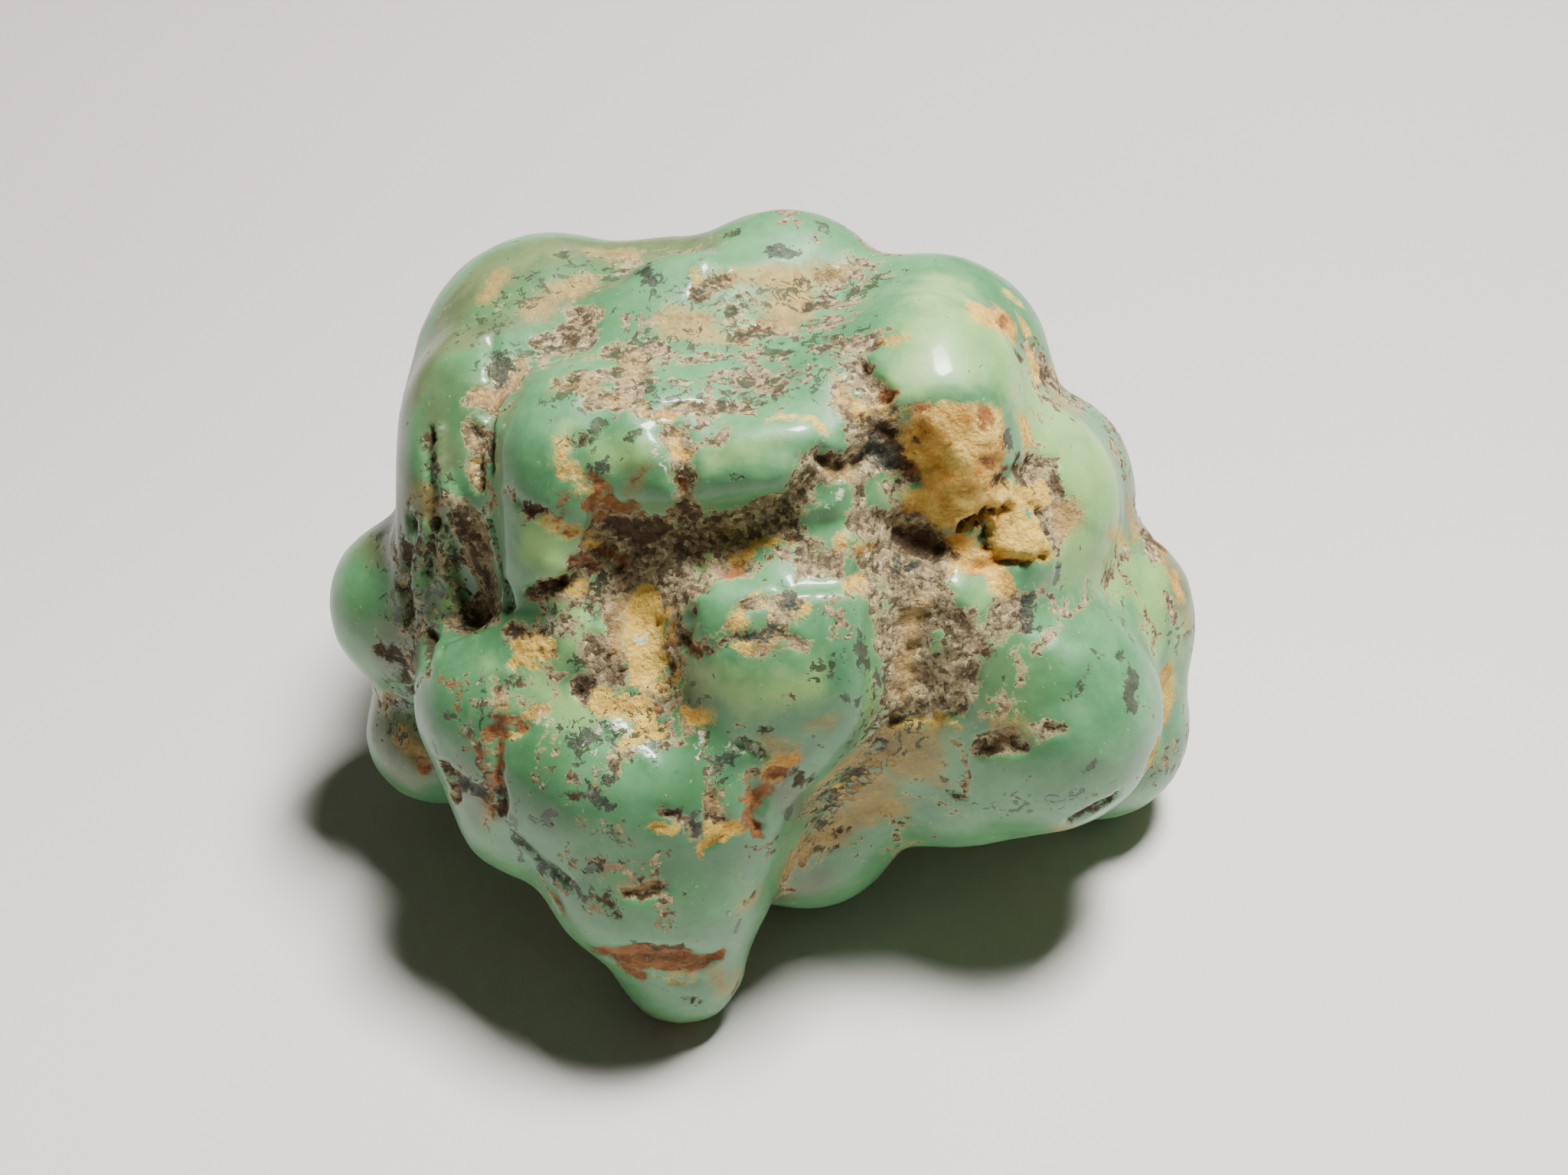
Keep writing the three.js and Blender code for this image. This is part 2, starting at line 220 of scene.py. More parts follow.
STROKES: Dict[Mark, Tuple[Band, ...]] = {
    Mark.MATRIX: (
        Band(0.75, -10.2, 11.3, -9.2, 11.4), Band(0.5, -8.9, 12.8, -8.2, 12.5),
        Band(0.5, -8.5, 11.8, -8.3, 11.2), Band(0.5, -9.2, 9, -8.3, 8.7, -7.2, 9.4, -6.5, 9.4),
        Band(0.75, -6.9, 10.6, -5.9, 10.3, -5.6, 9.4, -6, 8.5), Band(0.35, -5.4, 10.9, -4.4, 10.3),
        Band(0.5, -7.6, 8.1, -6.2, 7.8, -4.6, 7.4, -3, 7.6, -0.8, 7.7), Band(0.3, -3.7, 10.1, -2.2, 10.2),
        Band(0.6, -3.9, 6.3, -3.6, 5.4, -3.6, 4.4, -3.5, 3.1), Band(0.35, -3.3, 5.9, -2.4, 6.2, -1.9, 6.3),
        Band(0.4, -1.1, 11.3, -0.2, 11.6, 1.2, 11.6), Band(0.5, -3.2, 13.7, -2.3, 14.1, -1.8, 14.5),
        Band(0.35, 1.3, 13, 2.2, 13.1), Band(0.35, 2.6, 14.3, 3.8, 14.8, 4.7, 15.4),
        Band(0.5, 2.3, 10.7, 3, 10.8), Band(0.55, 3.6, 10.6, 4.8, 10.9), Band(0.65, 4, 9.7, 4.3, 9.1),
        Band(0.5, 4.6, 8.9, 5.3, 8.3), Band(0.8, 4.9, 7.6, 5.4, 6.9, 5, 6.2), Band(0.55, 4.4, 5.7, 5.9, 5.7),
        Band(0.85, -7, 2.6, -5.6, 2.4, -4.2, 2.3, -2.8, 2),
        Band(0.75, -2, 2.3, -0.4, 2.9, 0.8, 3.5, 1.9, 4.1), Band(0.55, 2.4, 4.8, 3.6, 5),
        Band(0.9, -6.7, 1.2, -5.2, 1, -3.8, 1, -3.4, 0.4), Band(0.6, -4.8, -0.4, -4.2, -0.6),
        Band(0.45, 1.2, 1.5, 2.5, 1.4, 3.6, 1.3), Band(0.9, 2.2, 5, 3.8, 3.9, 4.4, 2.8),
        Band(0.5, -1.6, 1.9, 0.4, 2.2, 1.6, 2.6), Band(1.5, -2.6, 0.2, 0, 0, 2.6, 0.1, 4.6, 0.2),
        Band(0.9, -2.6, -1.2, -0.6, -1.2, 1, -0.9), Band(0.3, -3.4, -2.6, -1.6, -2.4, 0.9, -2.4, 1.6, -2.7),
        Band(0.8, 1.6, 4.4, 3.2, 5.2, 4.6, 5.4), Band(0.6, 1, 3, 1, 2, 2, 1.4),
        Band(0.35, -1.6, 1.6, -1.7, 0.6, -2.6, 0.2), Band(0.5, -4.1, 0.2, -4, -1.6, -4.1, -3.2),
        Band(0.35, -6.6, 0.2, -6.6, -2, -6.9, -3.6), Band(0.3, -8.8, 0.2, -9.9, 0.1, -10.6, -0.4),
        Band(0.7, 5.6, -2, 5.8, -3.8, 6, -5.4), Band(0.6, 8, 0.7, 7.9, -1, 8.2, -2.4),
        Band(0.45, -7.6, 3.4, -7.2, 2.4, -7.8, 1), Band(0.45, 3.4, 8.6, 3.9, 7.2, 4, 6),
        Band(0.22, -2.9, -1, -3.5, -1.7, -3.4, -2.7, -2.3, -2.8), Band(0.25, 3.3, -0.9, 3.2, -1.9, 3, -2.6),
        Band(0.25, -1.5, -2.4, -0.8, -3, 0.4, -2.9), Band(1.1, 5.5, 3.1, 6.4, 2.4, 7.2, 1.6),
        Band(0.55, 5.1, 1.4, 5.2, 0.5, 5.3, -0.9),
        Band(1.25, 6.6, 0.6, 7, -0.8, 6.8, -2.2, 6.9, -3.6, 7.3, -5),
        Band(0.8, 8.6, -1.7, 8.9, -3, 8.9, -4.6, 8.7, -5.4), Band(0.7, 10.3, -2, 10.9, -1, 11.7, -1.3),
        Band(0.4, 9.2, -1.5, 9.8, -3.1), Band(0.6, 9.9, -7.4, 11.2, -7.2), Band(0.5, -6, -13.9, -4.9, -13.9),
        Band(0.4, 12.1, 5.6, 13.3, 5.4), Band(1.0, 12, 4.6, 12.7, 4.2), Band(0.6, 13.2, 3.7, 14, 3.2),
        Band(0.6, 13.1, 3.4, 13.5, 2.7, 13.4, 1.8), Band(0.45, -13.2, 7.1, -13.1, 5.8, -13, 4.6),
        Band(0.3, -11.6, 4.1, -10.8, 3.5, -10.2, 3, -9.6, 3), Band(0.4, -10.5, -0.5, -9.7, -0.4, -9, -0.1),
        Band(0.5, -8, 1.7, -7.3, 1.5), Band(0.6, -8.2, 0.7, -7, 0.8), Band(0.3, -11.5, -2.3, -10.2, -2.3),
        Band(0.8, -7.6, -3, -7.1, -3.4), Band(0.45, -8.1, -4.5, -7.2, -4.3, -6.6, -4.3),
        Band(0.35, -12, -4.6, -11.8, -5.3), Band(0.35, -6.3, -7.4, -6.5, -8),
        Band(0.35, -4.3, -10.2, -3.2, -10.8, -3.2, -11.3), Band(0.5, -2.4, -9.5, -2.3, -10.4),
        Band(0.6, -12.2, 10.1, -11.4, 9.5), Band(0.45, -13.3, 8.7, -12.3, 8.6),
        Band(0.55, -14.6, -1.8, -13.6, -1.5, -12.3, -1.4), Band(0.85, -13.7, 3, -13.3, 1.5, -12.8, 0),
        Band(0.8, 13.2, 10.3, 14.2, 9.6), Band(0.5, 19.3, 2.4, 20.4, 2.2), Band(0.4, 19.9, -0.8, 20.2, -1.7),
        Band(0.4, -14.9, -8.7, -14.3, -9.1, -14.6, -10), Band(0.5, -13.8, -9.4, -12.9, -9.6),
        Band(0.35, 12.6, -6.9, 13.5, -6.6),
    ),
    Mark.ISLAND: (
        Band(0.3, -7.8, 5.5, -7.8, 5.3), Band(0.4, -8.2, 3.1, -7.9, 2.8), Band(0.6, -4.5, 4.3, -4.4, 3.8),
        Band(1.05, 2.9, 3.6, 2.8, 2.9, 2.2, 2.3), Band(1.0, 5.2, 4.3, 5.8, 4.1),
        Band(1.0, 0.6, 1.1, 0.2, 0.2), Band(1.0, -1.5, -0.2, -2.1, -1), Band(0.5, -2.7, 0.9, -2.6, 0.4),
        Band(0.55, -3.3, -1.8, -2.9, -2), Band(0.55, -0.5, -1.7, 0.1, -1.7), Band(0.75, 2, 0.1, 2.7, -0.1),
        Band(0.5, 3.9, 0.8, 4.3, 0.3), Band(0.6, 5.3, -0.2, 5.4, -0.7), Band(0.7, 3.4, -1.4, 4.4, -1.4),
        Band(0.5, 1.6, -1.8, 2.4, -1.4), Band(0.6, 8.7, 0, 9.4, -0.5), Band(0.35, 7.7, -2.4, 7.6, -3),
        Band(0.35, 11.8, 0.5, 12.4, 0.5),
    ),
    Mark.CRUMB: (
        Band(1.0, -12.8, -4.6, -13.2, -7, -12, -9.4), Band(0.8, -9.4, -8.4, -7.4, -9.6, -6.2, -11),
        Band(0.9, -16.4, 3.6, -16.2, 0.4, -16, -2.4), Band(0.9, -9.4, 8.8, -7.6, 8.6, -6.4, 9.6),
        Band(0.8, -4.4, 10.4, -1.8, 10, 0.8, 10.3), Band(0.8, -3.4, 7.6, -0.6, 7.8, 0.8, 8.3),
        Band(0.7, -5, 13.4, -3.4, 13.7, -1.6, 14.5), Band(1.1, 2.2, 10.6, 3.6, 10.6, 5, 11),
        Band(0.8, 2, 13.2, 4.2, 13.6, 5.2, 15), Band(0.8, -8.6, 11.6, -8.8, 12.8),
        Band(0.7, -1, 11.6, 1.2, 11.6), Band(1.3, -7.6, 1.2, -5.4, 0.4, -3.2, 0),
        Band(1.2, -7.4, 0, -8.4, -1.2, -9.6, -2), Band(1.3, -7.2, -4.8, -5.4, -5.2, -5, -6.8),
        Band(1.0, 4.2, -3.6, 4.6, -5, 5, -6.6), Band(0.9, 2.4, -0.8, 3.3, -1.6, 3.4, -3),
        Band(0.7, 0.6, -0.4, 0.6, -1.6), Band(0.9, -6.4, 7.8, -4.6, 7.4, -3, 7.2),
        Band(0.9, -10.2, -8.6, -8.4, -10.2, -6.6, -10.8), Band(0.9, -14.6, -1.8, -12.2, -1.4),
        Band(0.9, -7.4, -8.4, -7.6, -10), Band(1.0, -2.3, -8, -2.4, -9.8, -3.2, -11.2),
        Band(0.7, -9.6, -13.8, -7, -14.6), Band(1.1, 11.8, 5.2, 13.6, 3.6), Band(0.9, 10.4, -1, 12, -1.3),
        Band(1.0, 8.2, -1.8, 9.2, -4), Band(0.6, -13.6, 8.6, -12, 8.6), Band(0.8, 12.8, 10.2, 14.6, 9.2),
        Band(0.8, -10.6, 3.2, -9.4, 2.6, -8.6, 4.2), Band(0.8, -12, -4.4, -12, -6.2),
        Band(0.7, -14.4, -4.8, -14, -6.4), Band(0.7, -1.4, -1.8, -0.6, -2.8, 0.6, -2.6),
        Band(0.7, 1, -11.8, -0.4, -12.2), Band(0.9, -14.6, -9, -12.4, -9.8),
        Band(1.2, -8.4, 9.4, -4, 9, 1.4, 9.2), Band(1.0, -6, 12, -1, 12.4, 4, 12.2),
        Band(1.0, -15.2, 4, -15.2, 0.6, -14.4, -1), Band(1.2, 5.6, -7.4, 3.6, -9.6, 2, -12.4),
        Band(1.0, -17.6, 1.6, -16.6, -2.4, -18, -6), Band(0.9, -8.6, -12.4, -5, -12.6, -4.4, -15),
        Band(0.9, 10, 13, 13, 11, 14.4, 8),
    ),
    Mark.PINK: (
        Band(0.85, -4.1, 12.3, -3.2, 12.2, -3, 11.8), Band(0.7, -4.4, 11.6, -2.6, 11.4),
        Band(0.4, -2, 11.2, -1.2, 11.3), Band(1.1, 0.2, 14.4, 1.3, 14.2, 1, 13.2, 0.9, 12.4),
        Band(0.5, -1.6, 14.5, -0.4, 14.3), Band(0.4, -0.2, 12.1, 1.2, 12.1), Band(0.5, 2.4, 14.9, 3.4, 15),
        Band(0.45, -6.3, 10.4, -5.8, 9.4), Band(0.6, -11, 13.2, -10.4, 12.9, -9.8, 14.1, -8.8, 14.3),
        Band(0.3, -11.4, 10.3, -11.5, 9.6), Band(0.4, -13, 8.8, -12.3, 8.7),
        Band(0.35, -9.4, 8.7, -8.4, 9, -7.8, 8.5), Band(0.22, -5.2, 4.8, -5.5, 4.3, -5.8, 3.9),
        Band(0.45, 3, 5, 3.7, 4.8), Band(0.25, -2, 2.5, -1.5, 2.2),
        Band(0.5, -6.2, -0.9, -6.1, -1.9, -6.5, -2.9), Band(0.45, -0.1, -2.8, 0.6, -2.5),
        Band(0.6, 13.9, 3.4, 14.2, 2.8), Band(0.35, 16.4, 2.4, 18.3, 2.2),
        Band(0.4, 6.9, -1, 6.5, -2.2, 6.4, -4.9), Band(1.2, 6.5, -7.3, 6.9, -8.4),
        Band(0.6, 5.4, -8, 3.4, -8.3, 2.8, -9), Band(0.6, 7.6, -6.5, 7.6, -9),
        Band(1.2, 3, -12, 4.4, -11.2, 5.6, -10.6), Band(0.8, 1.8, -12.4, 1.2, -13.4),
        Band(0.8, 5.6, -9.6, 4.4, -10.2), Band(0.5, 0.4, -7, 1, -7.5), Band(0.3, 2.2, -6, 2.8, -6.2),
        Band(0.35, -2.4, -9.5, -2.2, -9.9), Band(0.3, -12, -5, -11.7, -5.4),
        Band(0.5, -13, -10.2, -12.6, -10.6), Band(0.35, -6.2, -13.6, -5.2, -13.6),
        Band(0.4, -2.4, -18.4, -1.8, -19.2), Band(0.3, -1, -14.8, -0.4, -14.4),
        Band(0.7, -18.2, -8, -17.2, -8.9), Band(0.5, -16, 4.3, -15.5, 3.4), Band(0.5, 14, 8.8, 14.8, 8.3),
        Band(0.5, 19, 3.8, 19.5, 3.3), Band(0.4, 19.9, 1.2, 20, 0.6), Band(0.35, 21.1, -1.8, 21.2, -2.5),
        Band(0.45, -8.6, 16.4, -7, 16.2), Band(0.5, -12.8, 14.9, -13.4, 13.7),
        Band(0.3, 10.7, -6.6, 11.8, -6.8), Band(0.4, 14, -11.7, 14.6, -11.8), Band(0.3, 8, -9.4, 8.5, -9.5),
    ),
    Mark.CREAM: (
        Band(0.16, -9, 6.2, -9.1, 5.4, -8.9, 4.8, -8.5, 4.5),
        Band(0.14, -13.3, 6.4, -13.35, 5.4, -13.2, 4.6), Band(0.3, -9.4, -0.05, -8.4, -0.15),
        Band(0.7, -10.9, -3, -10.1, -3), Band(0.35, -11.3, -3.5, -10.6, -3.7),
        Band(0.3, -7.8, 1.8, -7.2, 1.5), Band(0.75, -5.5, -0.7, -5.3, -1.8, -5.4, -3, -5.6, -4),
        Band(0.35, -4.9, -2.2, -4.7, -3.3), Band(0.6, -7.1, -5.3, -5.6, -5.4, -5.2, -6.2),
        Band(0.5, -6.2, -6.9, -5, -6.6), Band(0.25, -0.5, 1.6, 0.6, 1.8, 1.3, 1.6),
        Band(0.14, -0.5, -0.4, -0.1, -0.8, 0.2, -1.2), Band(0.2, 1.2, -1.3, 2, -1.2),
        Band(0.3, -1.3, -2.7, -0.7, -2.9), Band(1.15, 11, 2.2, 12, 2.1), Band(0.6, 10.6, 1.3, 12.6, 1.3),
        Band(0.7, 11, 2.6, 12.4, 2.6), Band(0.5, 11.3, 3.7, 12.6, 4), Band(0.3, 5.1, 7.7, 5.6, 7.3),
        Band(0.2, 2.1, 6.9), Band(0.2, 3.5, 9.6, 3.3, 9), Band(0.3, 6.2, -6.4, 8.2, -6.2, 8.7, -6.6),
        Band(0.3, 3.2, -9.5, 3.9, -9.3), Band(0.45, -2.3, -10.9, -1.4, -11, -2.4, -11.5),
        Band(0.3, -4.9, -10.9, -4.2, -11), Band(0.25, -3, -12.1, -2.5, -12.3),
        Band(0.18, -11.6, -6.8, -11, -6.9, -10.7, -6.5), Band(0.3, -3.5, 14.6, -3, 14.3),
        Band(0.7, 18.6, -8.2, 18.4, -9.2), Band(0.2, -4.6, -18.5, -3.4, -18.6),
    ),
    # pale mineral edges, and painted glints and sheen lines
    Mark.WHITE: (
        Band(0.14, -4.8, 5.6, -4.3, 5.3, -3.6, 4.85), Band(0.1, -4.7, 5.3, -4.3, 4.8),
        Band(0.12, -13.2, 4.95, -12.9, 4.95), Band(0.22, -7.7, -6.1, -6.9, -6.3, -6.3, -6.7),
        Band(0.13, -10.1, -6.25, -9.3, -6.4), Band(0.1, -5.9, -7.3, -5.6, -7.7, -5, -8),
        Band(0.1, -8.2, -7.15, -7.6, -7.4), Band(0.15, -5.6, -2.4, -4.9, -2.3),
        Band(0.12, -1.4, -7.2, -0.5, -7.6, 0.2, -7.9), Band(0.08, -2.9, -6.6, -2.85, -7.4),
        Band(0.1, 3.2, 4.5, 2.8, 3.6, 2.4, 3.5), Band(0.12, 7.2, -6.2, 8.2, -6.1, 8.7, -6.5),
    ),
    Mark.OCHRE: (
        Band(1.9, 8, 6.4, 9.1, 6), Band(1.1, 7.2, 7, 7.8, 5.4, 8.3, 4.2), Band(1.0, 10, 6.9, 10, 5.6),
        Band(0.9, 7.2, 3.6, 8.6, 3.3), Band(0.9, 8.8, 4, 9.9, 4, 10.6, 4.1),
        Band(0.7, 7.9, 2.9, 8.8, 2.9, 9.9, 3.2, 11, 3.3), Band(0.7, 8.8, 1.7, 9.1, 1, 10.6, 0.9),
        Band(0.6, 10.4, 0, 10.8, 0.1), Band(0.5, 11.7, 7.2, 12, 6.6), Band(0.15, -6.8, 8, -5.4, 7.8),
        Band(0.25, -5, 7.4, -3.7, 7.2), Band(0.3, -3.9, 6, -3.5, 5.6),
        Band(0.35, -8.8, 6.1, -8.6, 5.2, -8.1, 4.8), Band(0.3, -8.3, 4.1, -7.6, 3.8),
        Band(0.35, -8.4, 2.3, -9.6, 2.6), Band(0.25, -5.7, -4.4, -4.7, -4.6, -4.1, -3.8),
        Band(0.3, -4.3, -1.4, -4, -2.7), Band(0.3, -0.5, 1.5, -1.3, 1.2), Band(0.3, -1, -1.5, -1.2, -2),
        Band(0.3, 3.2, 1.6, 4.6, 1.5), Band(0.4, 3.7, 0, 4.5, -0.1),
        Band(0.2, 0.5, 7.2, 1.8, 7.05, 2.6, 6.5), Band(0.25, 3.6, 8.4, 4.2, 7.8, 4.4, 7),
        Band(0.35, 5.4, 10.8, 6.1, 10.9), Band(1.0, 9.8, 12.3, 11.2, 12.1), Band(0.3, 11.5, 14, 12, 13.5),
        Band(0.35, 12.2, 12.4, 12.3, 12), Band(0.4, 12.6, 10.7, 12.7, 9.9), Band(0.2, 11.2, 8.5, 11.2, 7.9),
        Band(0.35, 16.3, 2.5, 17.4, 2.3), Band(0.3, 8.6, 16.3, 9.2, 16.1), Band(0.7, 0.8, -8, 0.6, -8.6),
        Band(0.3, -1.6, -10.9, -1, -11), Band(0.4, -3.4, -5.8, -2.6, -5.9),
        Band(0.25, -10.8, -6.05, -9.8, -6), Band(0.3, -4, -18.1, -3.4, -18.2),
        Band(0.8, 20.1, -4.6, 20, -6.6), Band(0.5, 20.5, 0.3, 20.6, -0.4),
    ),
    Mark.RUST: (
        Band(0.3, -7.5, 4.7, -7, 4.2, -6.7, 3.6), Band(0.45, -7, 3.7, -6.4, 3.4, -5.9, 3.4),
        Band(0.35, -7.8, 3.4, -7.3, 3.3), Band(0.4, -7.3, 2.9, -6.9, 2.5),
        Band(0.2, -9.6, 2.55, -9, 2.4, -8.4, 2.2), Band(0.18, -8.9, 3.8, -8.9, 3, -9, 2.7),
        Band(0.2, -7.5, 3.9, -8.2, 4.1), Band(0.12, -5.1, 4.8, -5.4, 4.4, -5.7, 4),
        Band(0.14, -8.5, 1.05, -7.4, 1.1, -6.2, 1.2), Band(0.3, -8.1, 0.7, -7.7, 0.4),
        Band(0.3, -1.3, 0.7, -1.6, 0.5), Band(0.18, -0.9, 1.35, -1.1, 1.1),
        Band(0.16, -3.4, -2.8, -2.6, -2.9), Band(0.2, -3.6, 4.6, -3.6, 3.9), Band(0.12, -3.45, 5, -3.4, 4.7),
        Band(0.3, 5.1, 8.5, 5.5, 8.3), Band(0.25, 9.4, 7.6, 10, 7.3), Band(0.3, 9.6, 5.3, 10.9, 5.2),
        Band(0.16, 6.4, 7.7, 7.3, 7.7), Band(0.2, 6.2, 6.3, 6.6, 5.3, 6.9, 4.6), Band(0.22, -4.7, -5.3),
        Band(0.2, -9.9, -3.1, -9.5, -3.2), Band(0.3, -12, -5.6, -11.7, -6.2, -11, -6.4),
        Band(0.35, -11.2, -6.2, -10.9, -6.6), Band(0.14, -10.7, -6, -9.8, -6),
        Band(0.42, -12.1, -6.8, -12.4, -7.1), Band(0.28, -12.5, -7.5, -13.1, -7.6),
        Band(0.22, -12, -7.5, -12, -8.4, -12.1, -9.2), Band(0.4, -12.2, -10.3, -12.6, -10.4),
        Band(0.16, -14.7, -4.4, -14.2, -5, -14, -5.8), Band(0.2, -14.1, -5, -13.5, -4.7),
        Band(0.55, 0.5, -8.6, 1, -8.5), Band(0.25, 0.2, -9, 0.2, -9.5, -0.3, -9.7),
        Band(0.3, -0.9, -8.8, -0.7, -9.5), Band(0.38, -0.4, -9.8, -0.5, -10.6, -0.2, -11.3),
        Band(0.3, -0.8, -10.3, -0.8, -10.9), Band(0.8, -7.6, -17.4, -6.4, -17.2, -5.2, -17.1, -4.2, -17.3),
        Band(0.5, -4, -17.5, -3, -17.9, -2.3, -17.6), Band(0.5, -6.6, -17.9, -5.2, -17.7, -3.4, -17.9),
        Band(0.4, -6.8, -18.1, -6, -18.4), Band(0.5, -9.8, -14.7, -9.6, -15),
        Band(0.12, 10, -7.4, 11.2, -7.2), Band(0.35, -17.6, -8.8, -17, -9.3),
        Band(0.3, 10.8, 12, 11.6, 12.3),
    ),
    # dark brown matrix, and painted shade in cracks, recesses and under the ochre lump
    Mark.BROWN: (
        Band(0.6, -6.5, 2.5, -5.4, 2.3, -4.6, 2.4), Band(0.25, -8.4, 6.3, -7.5, 6.25),
        Band(0.3, -3.6, 3.4, -3.2, 3), Band(0.2, -2.6, 2.8, -2.4, 2.75), Band(0.3, 1.2, 1.8, 2.4, 1.6),
        Band(0.35, 2.6, 5.3, 3.2, 5.4), Band(0.55, 4.9, 6.6, 5.4, 6.5), Band(0.25, 4.3, 7, 4.6, 6.4),
        Band(0.35, 6, 6.1, 6.3, 5.6), Band(0.35, 3.8, 9.6, 4.5, 9.4), Band(0.3, 2, 13.2, 2.8, 13.2),
        Band(0.2, 2.1, 11.9, 2.5, 12.1), Band(0.3, 2.3, 10.4, 2.9, 11.1), Band(0.3, 4.7, 10.6, 5.1, 10.6),
        Band(0.3, 5, 13.3), Band(0.2, 5.2, 15.2), Band(0.22, -1.1, 11.3, -0.6, 11.5, 0, 11.9),
        Band(0.18, -2.9, 13.9, -2, 14, -2.4, 14.5, -1.6, 14.5), Band(0.25, -3.7, 13.5, -3.2, 13.5),
        Band(0.45, 6.3, 2.1, 7.2, 1.8, 7.8, 1.4), Band(0.25, 7.1, 0.4, 7.2, 0.3),
        Band(0.3, 10.2, 4.5, 11, 4.7), Band(0.35, 11.4, 5.6, 11.8, 4.6), Band(0.25, 12.2, 5.5, 13.4, 5.5),
        Band(0.25, 13.4, 4.8, 13.9, 4.1), Band(0.22, 8.9, 2.45, 9.4, 2.8, 9.9, 3.05),
        Band(0.2, 9.95, 2.9, 10, 2.1, 10.02, 1.45), Band(0.22, 12.6, 3.3, 12.9, 2.8, 13.1, 2.1),
        Band(0.12, 9.8, 3.35, 10.9, 3.25), Band(0.18, 6.7, 6.8, 6.9, 6.6),
        Band(0.25, -4.3, -3.5, -4.3, -4.4), Band(0.3, -7.5, -3, -7.1, -3.4), Band(0.3, -6.7, -4.3),
        Band(0.35, -8.2, -4.5, -7.9, -4.6), Band(0.22, -10.6, -0.3, -9.6, -0.1, -8.8, 0.2),
        Band(0.2, -11.4, -2.3, -10.9, -2.4), Band(0.1, -11.8, -2.6, -11.8, -4.1, -12.1, -4.7),
        Band(0.3, -11.5, -4.4), Band(0.3, -7.7, -1.3),
        Band(0.35, -14, 3.2, -13.7, 2.2, -13.2, 0.6, -12.8, -0.4),
        Band(0.3, -17.2, 2.6, -16.9, 0.6, -17.2, -1.4), Band(0.35, -18.8, -3.2, -17.9, -3.6, -17.6, -5),
        Band(0.3, -12.9, 7.4, -12.7, 6.2, -12.6, 5),
        Band(0.25, -12.5, 2.8, -12.2, 1.1, -11.8, -0.1, -11.7, -1.1),
        Band(0.3, -10.9, 3.7, -10.2, 3.1, -9.7, 3), Band(0.5, -16, -2.5, -15.9, -3.5),
        Band(0.3, -15.4, 6.7, -15.4, 5.4), Band(0.2, -15.4, 2.8, -15.7, 1.5, -15.8, 0.3),
        Band(0.3, -16.5, 2.6, -16.6, 1.2), Band(0.3, -9.2, 11.7, -9.3, 11.1),
        Band(0.2, -8.9, 12.8, -8.3, 12.4), Band(0.25, -9, 9, -8.6, 9), Band(0.2, -6.9, 9.4, -6.5, 9.3),
        Band(0.25, -5.2, 8.9, -5, 8.5), Band(0.25, -0.8, 8.2, -0.2, 8), Band(0.15, 0.3, 8.1, 0.8, 8.5),
        Band(0.3, -8.9, -9.6, -8.4, -9.5), Band(0.3, -4.4, -10.2, -4, -10.1),
        Band(0.2, -2.5, -10.4, -2, -10.5), Band(0.22, 0, -6.4, 0.3, -6.4),
        Band(0.18, -1, -6.9, -0.6, -7.4, 0.1, -7.7), Band(0.35, 1.7, -8.4, 1.8, -8.9),
        Band(0.25, 4, -8.8, 4.4, -8.8), Band(0.25, 5.7, -6.2, 6.2, -6.4), Band(0.25, 8.4, -6),
        Band(0.25, 6.5, -11.6), Band(0.22, 3.4, -12.1, 3.9, -11.9), Band(0.15, 5.4, -10.9, 5.8, -11.1),
        Band(0.35, 8.9, -10, 9.4, -10.3), Band(0.2, 8.5, -9.1), Band(0.15, 11.3, -7.5, 11.7, -7.4),
        Band(0.15, 9.8, -7.8, 10.6, -7.8), Band(0.45, 14.7, -11.2, 15.6, -10.6, 16.5, -10.1),
        Band(0.15, -6.1, -14.3, -5.2, -14.2), Band(0.15, -4.9, -13.8, -4.3, -14.2),
        Band(0.12, -6.1, -13.4, -5.5, -13.1, -4.9, -13.4), Band(0.35, -7.2, -14.4, -6.9, -14.8),
        Band(0.28, -6.1, -16.7, -5, -16.8, -4, -16.9), Band(0.25, -3.8, -19.7, -3.1, -19.7),
        Band(0.35, -12.1, -9.8, -12.4, -10.6), Band(0.3, -14.8, -8.7, -14.4, -8.9),
        Band(0.15, -1, -14.7, -0.6, -14.4), Band(0.4, 13.2, 9.9, 13.9, 9.7), Band(0.3, 12, 10.5, 11.7, 10.6),
        Band(0.35, 12.2, -1, 12.1, -1.7), Band(0.25, 8.5, 1.2, 8.8, 1.2), Band(0.3, 8.4, -1.5, 9.2, -1.8),
        Band(0.25, 10.1, -3.2, 9.9, -3.3), Band(0.4, 19, 2.4, 19.8, 2.3), Band(0.3, -3, 0, -2.7, -0.4),
        Band(0.15, -2.8, -1.1, -2.5, -1),
    ),
    Mark.SLATE: (
        Band(0.55, -12.3, 10.6, -12.2, 10), Band(0.28, -7.5, 5.1, -7.1, 5.1),
        Band(0.2, -1.3, -2.3, -0.2, -2.4, 0.9, -2.25), Band(0.12, -0.1, -3, 0.1, -3.3, 0.5, -3.3),
        Band(0.4, 1.1, -0.2, 1.2, -0.8), Band(0.4, 4.3, -2.4, 4.2, -3, 4.6, -3.6),
        Band(0.35, 4.9, -4.2, 5.3, -4.4), Band(0.13, 3.5, -4.3, 3.7, -5, 4.2, -5.3, 4.4, -5.8),
        Band(0.13, 4.3, -6.2, 4, -6.9, 4.1, -7.3), Band(0.12, 4.8, -6.5, 4.4, -6.4),
        Band(0.1, 3.9, -7.5, 3.4, -7.9, 3, -8.3), Band(0.1, 5.4, -7.3, 5, -7.6),
        Band(0.5, -8.4, -6.9, -7.9, -6.7), Band(0.22, -7.5, -6.9, -7, -7.1),
        Band(0.35, -2.1, -7.8, -1.4, -7.7), Band(0.15, -1.2, -7.2, -2.2, -8.3),
        Band(0.4, -3.2, -10.4, -3.1, -11.1), Band(0.35, -7.6, -9.6, -7.1, -9.8),
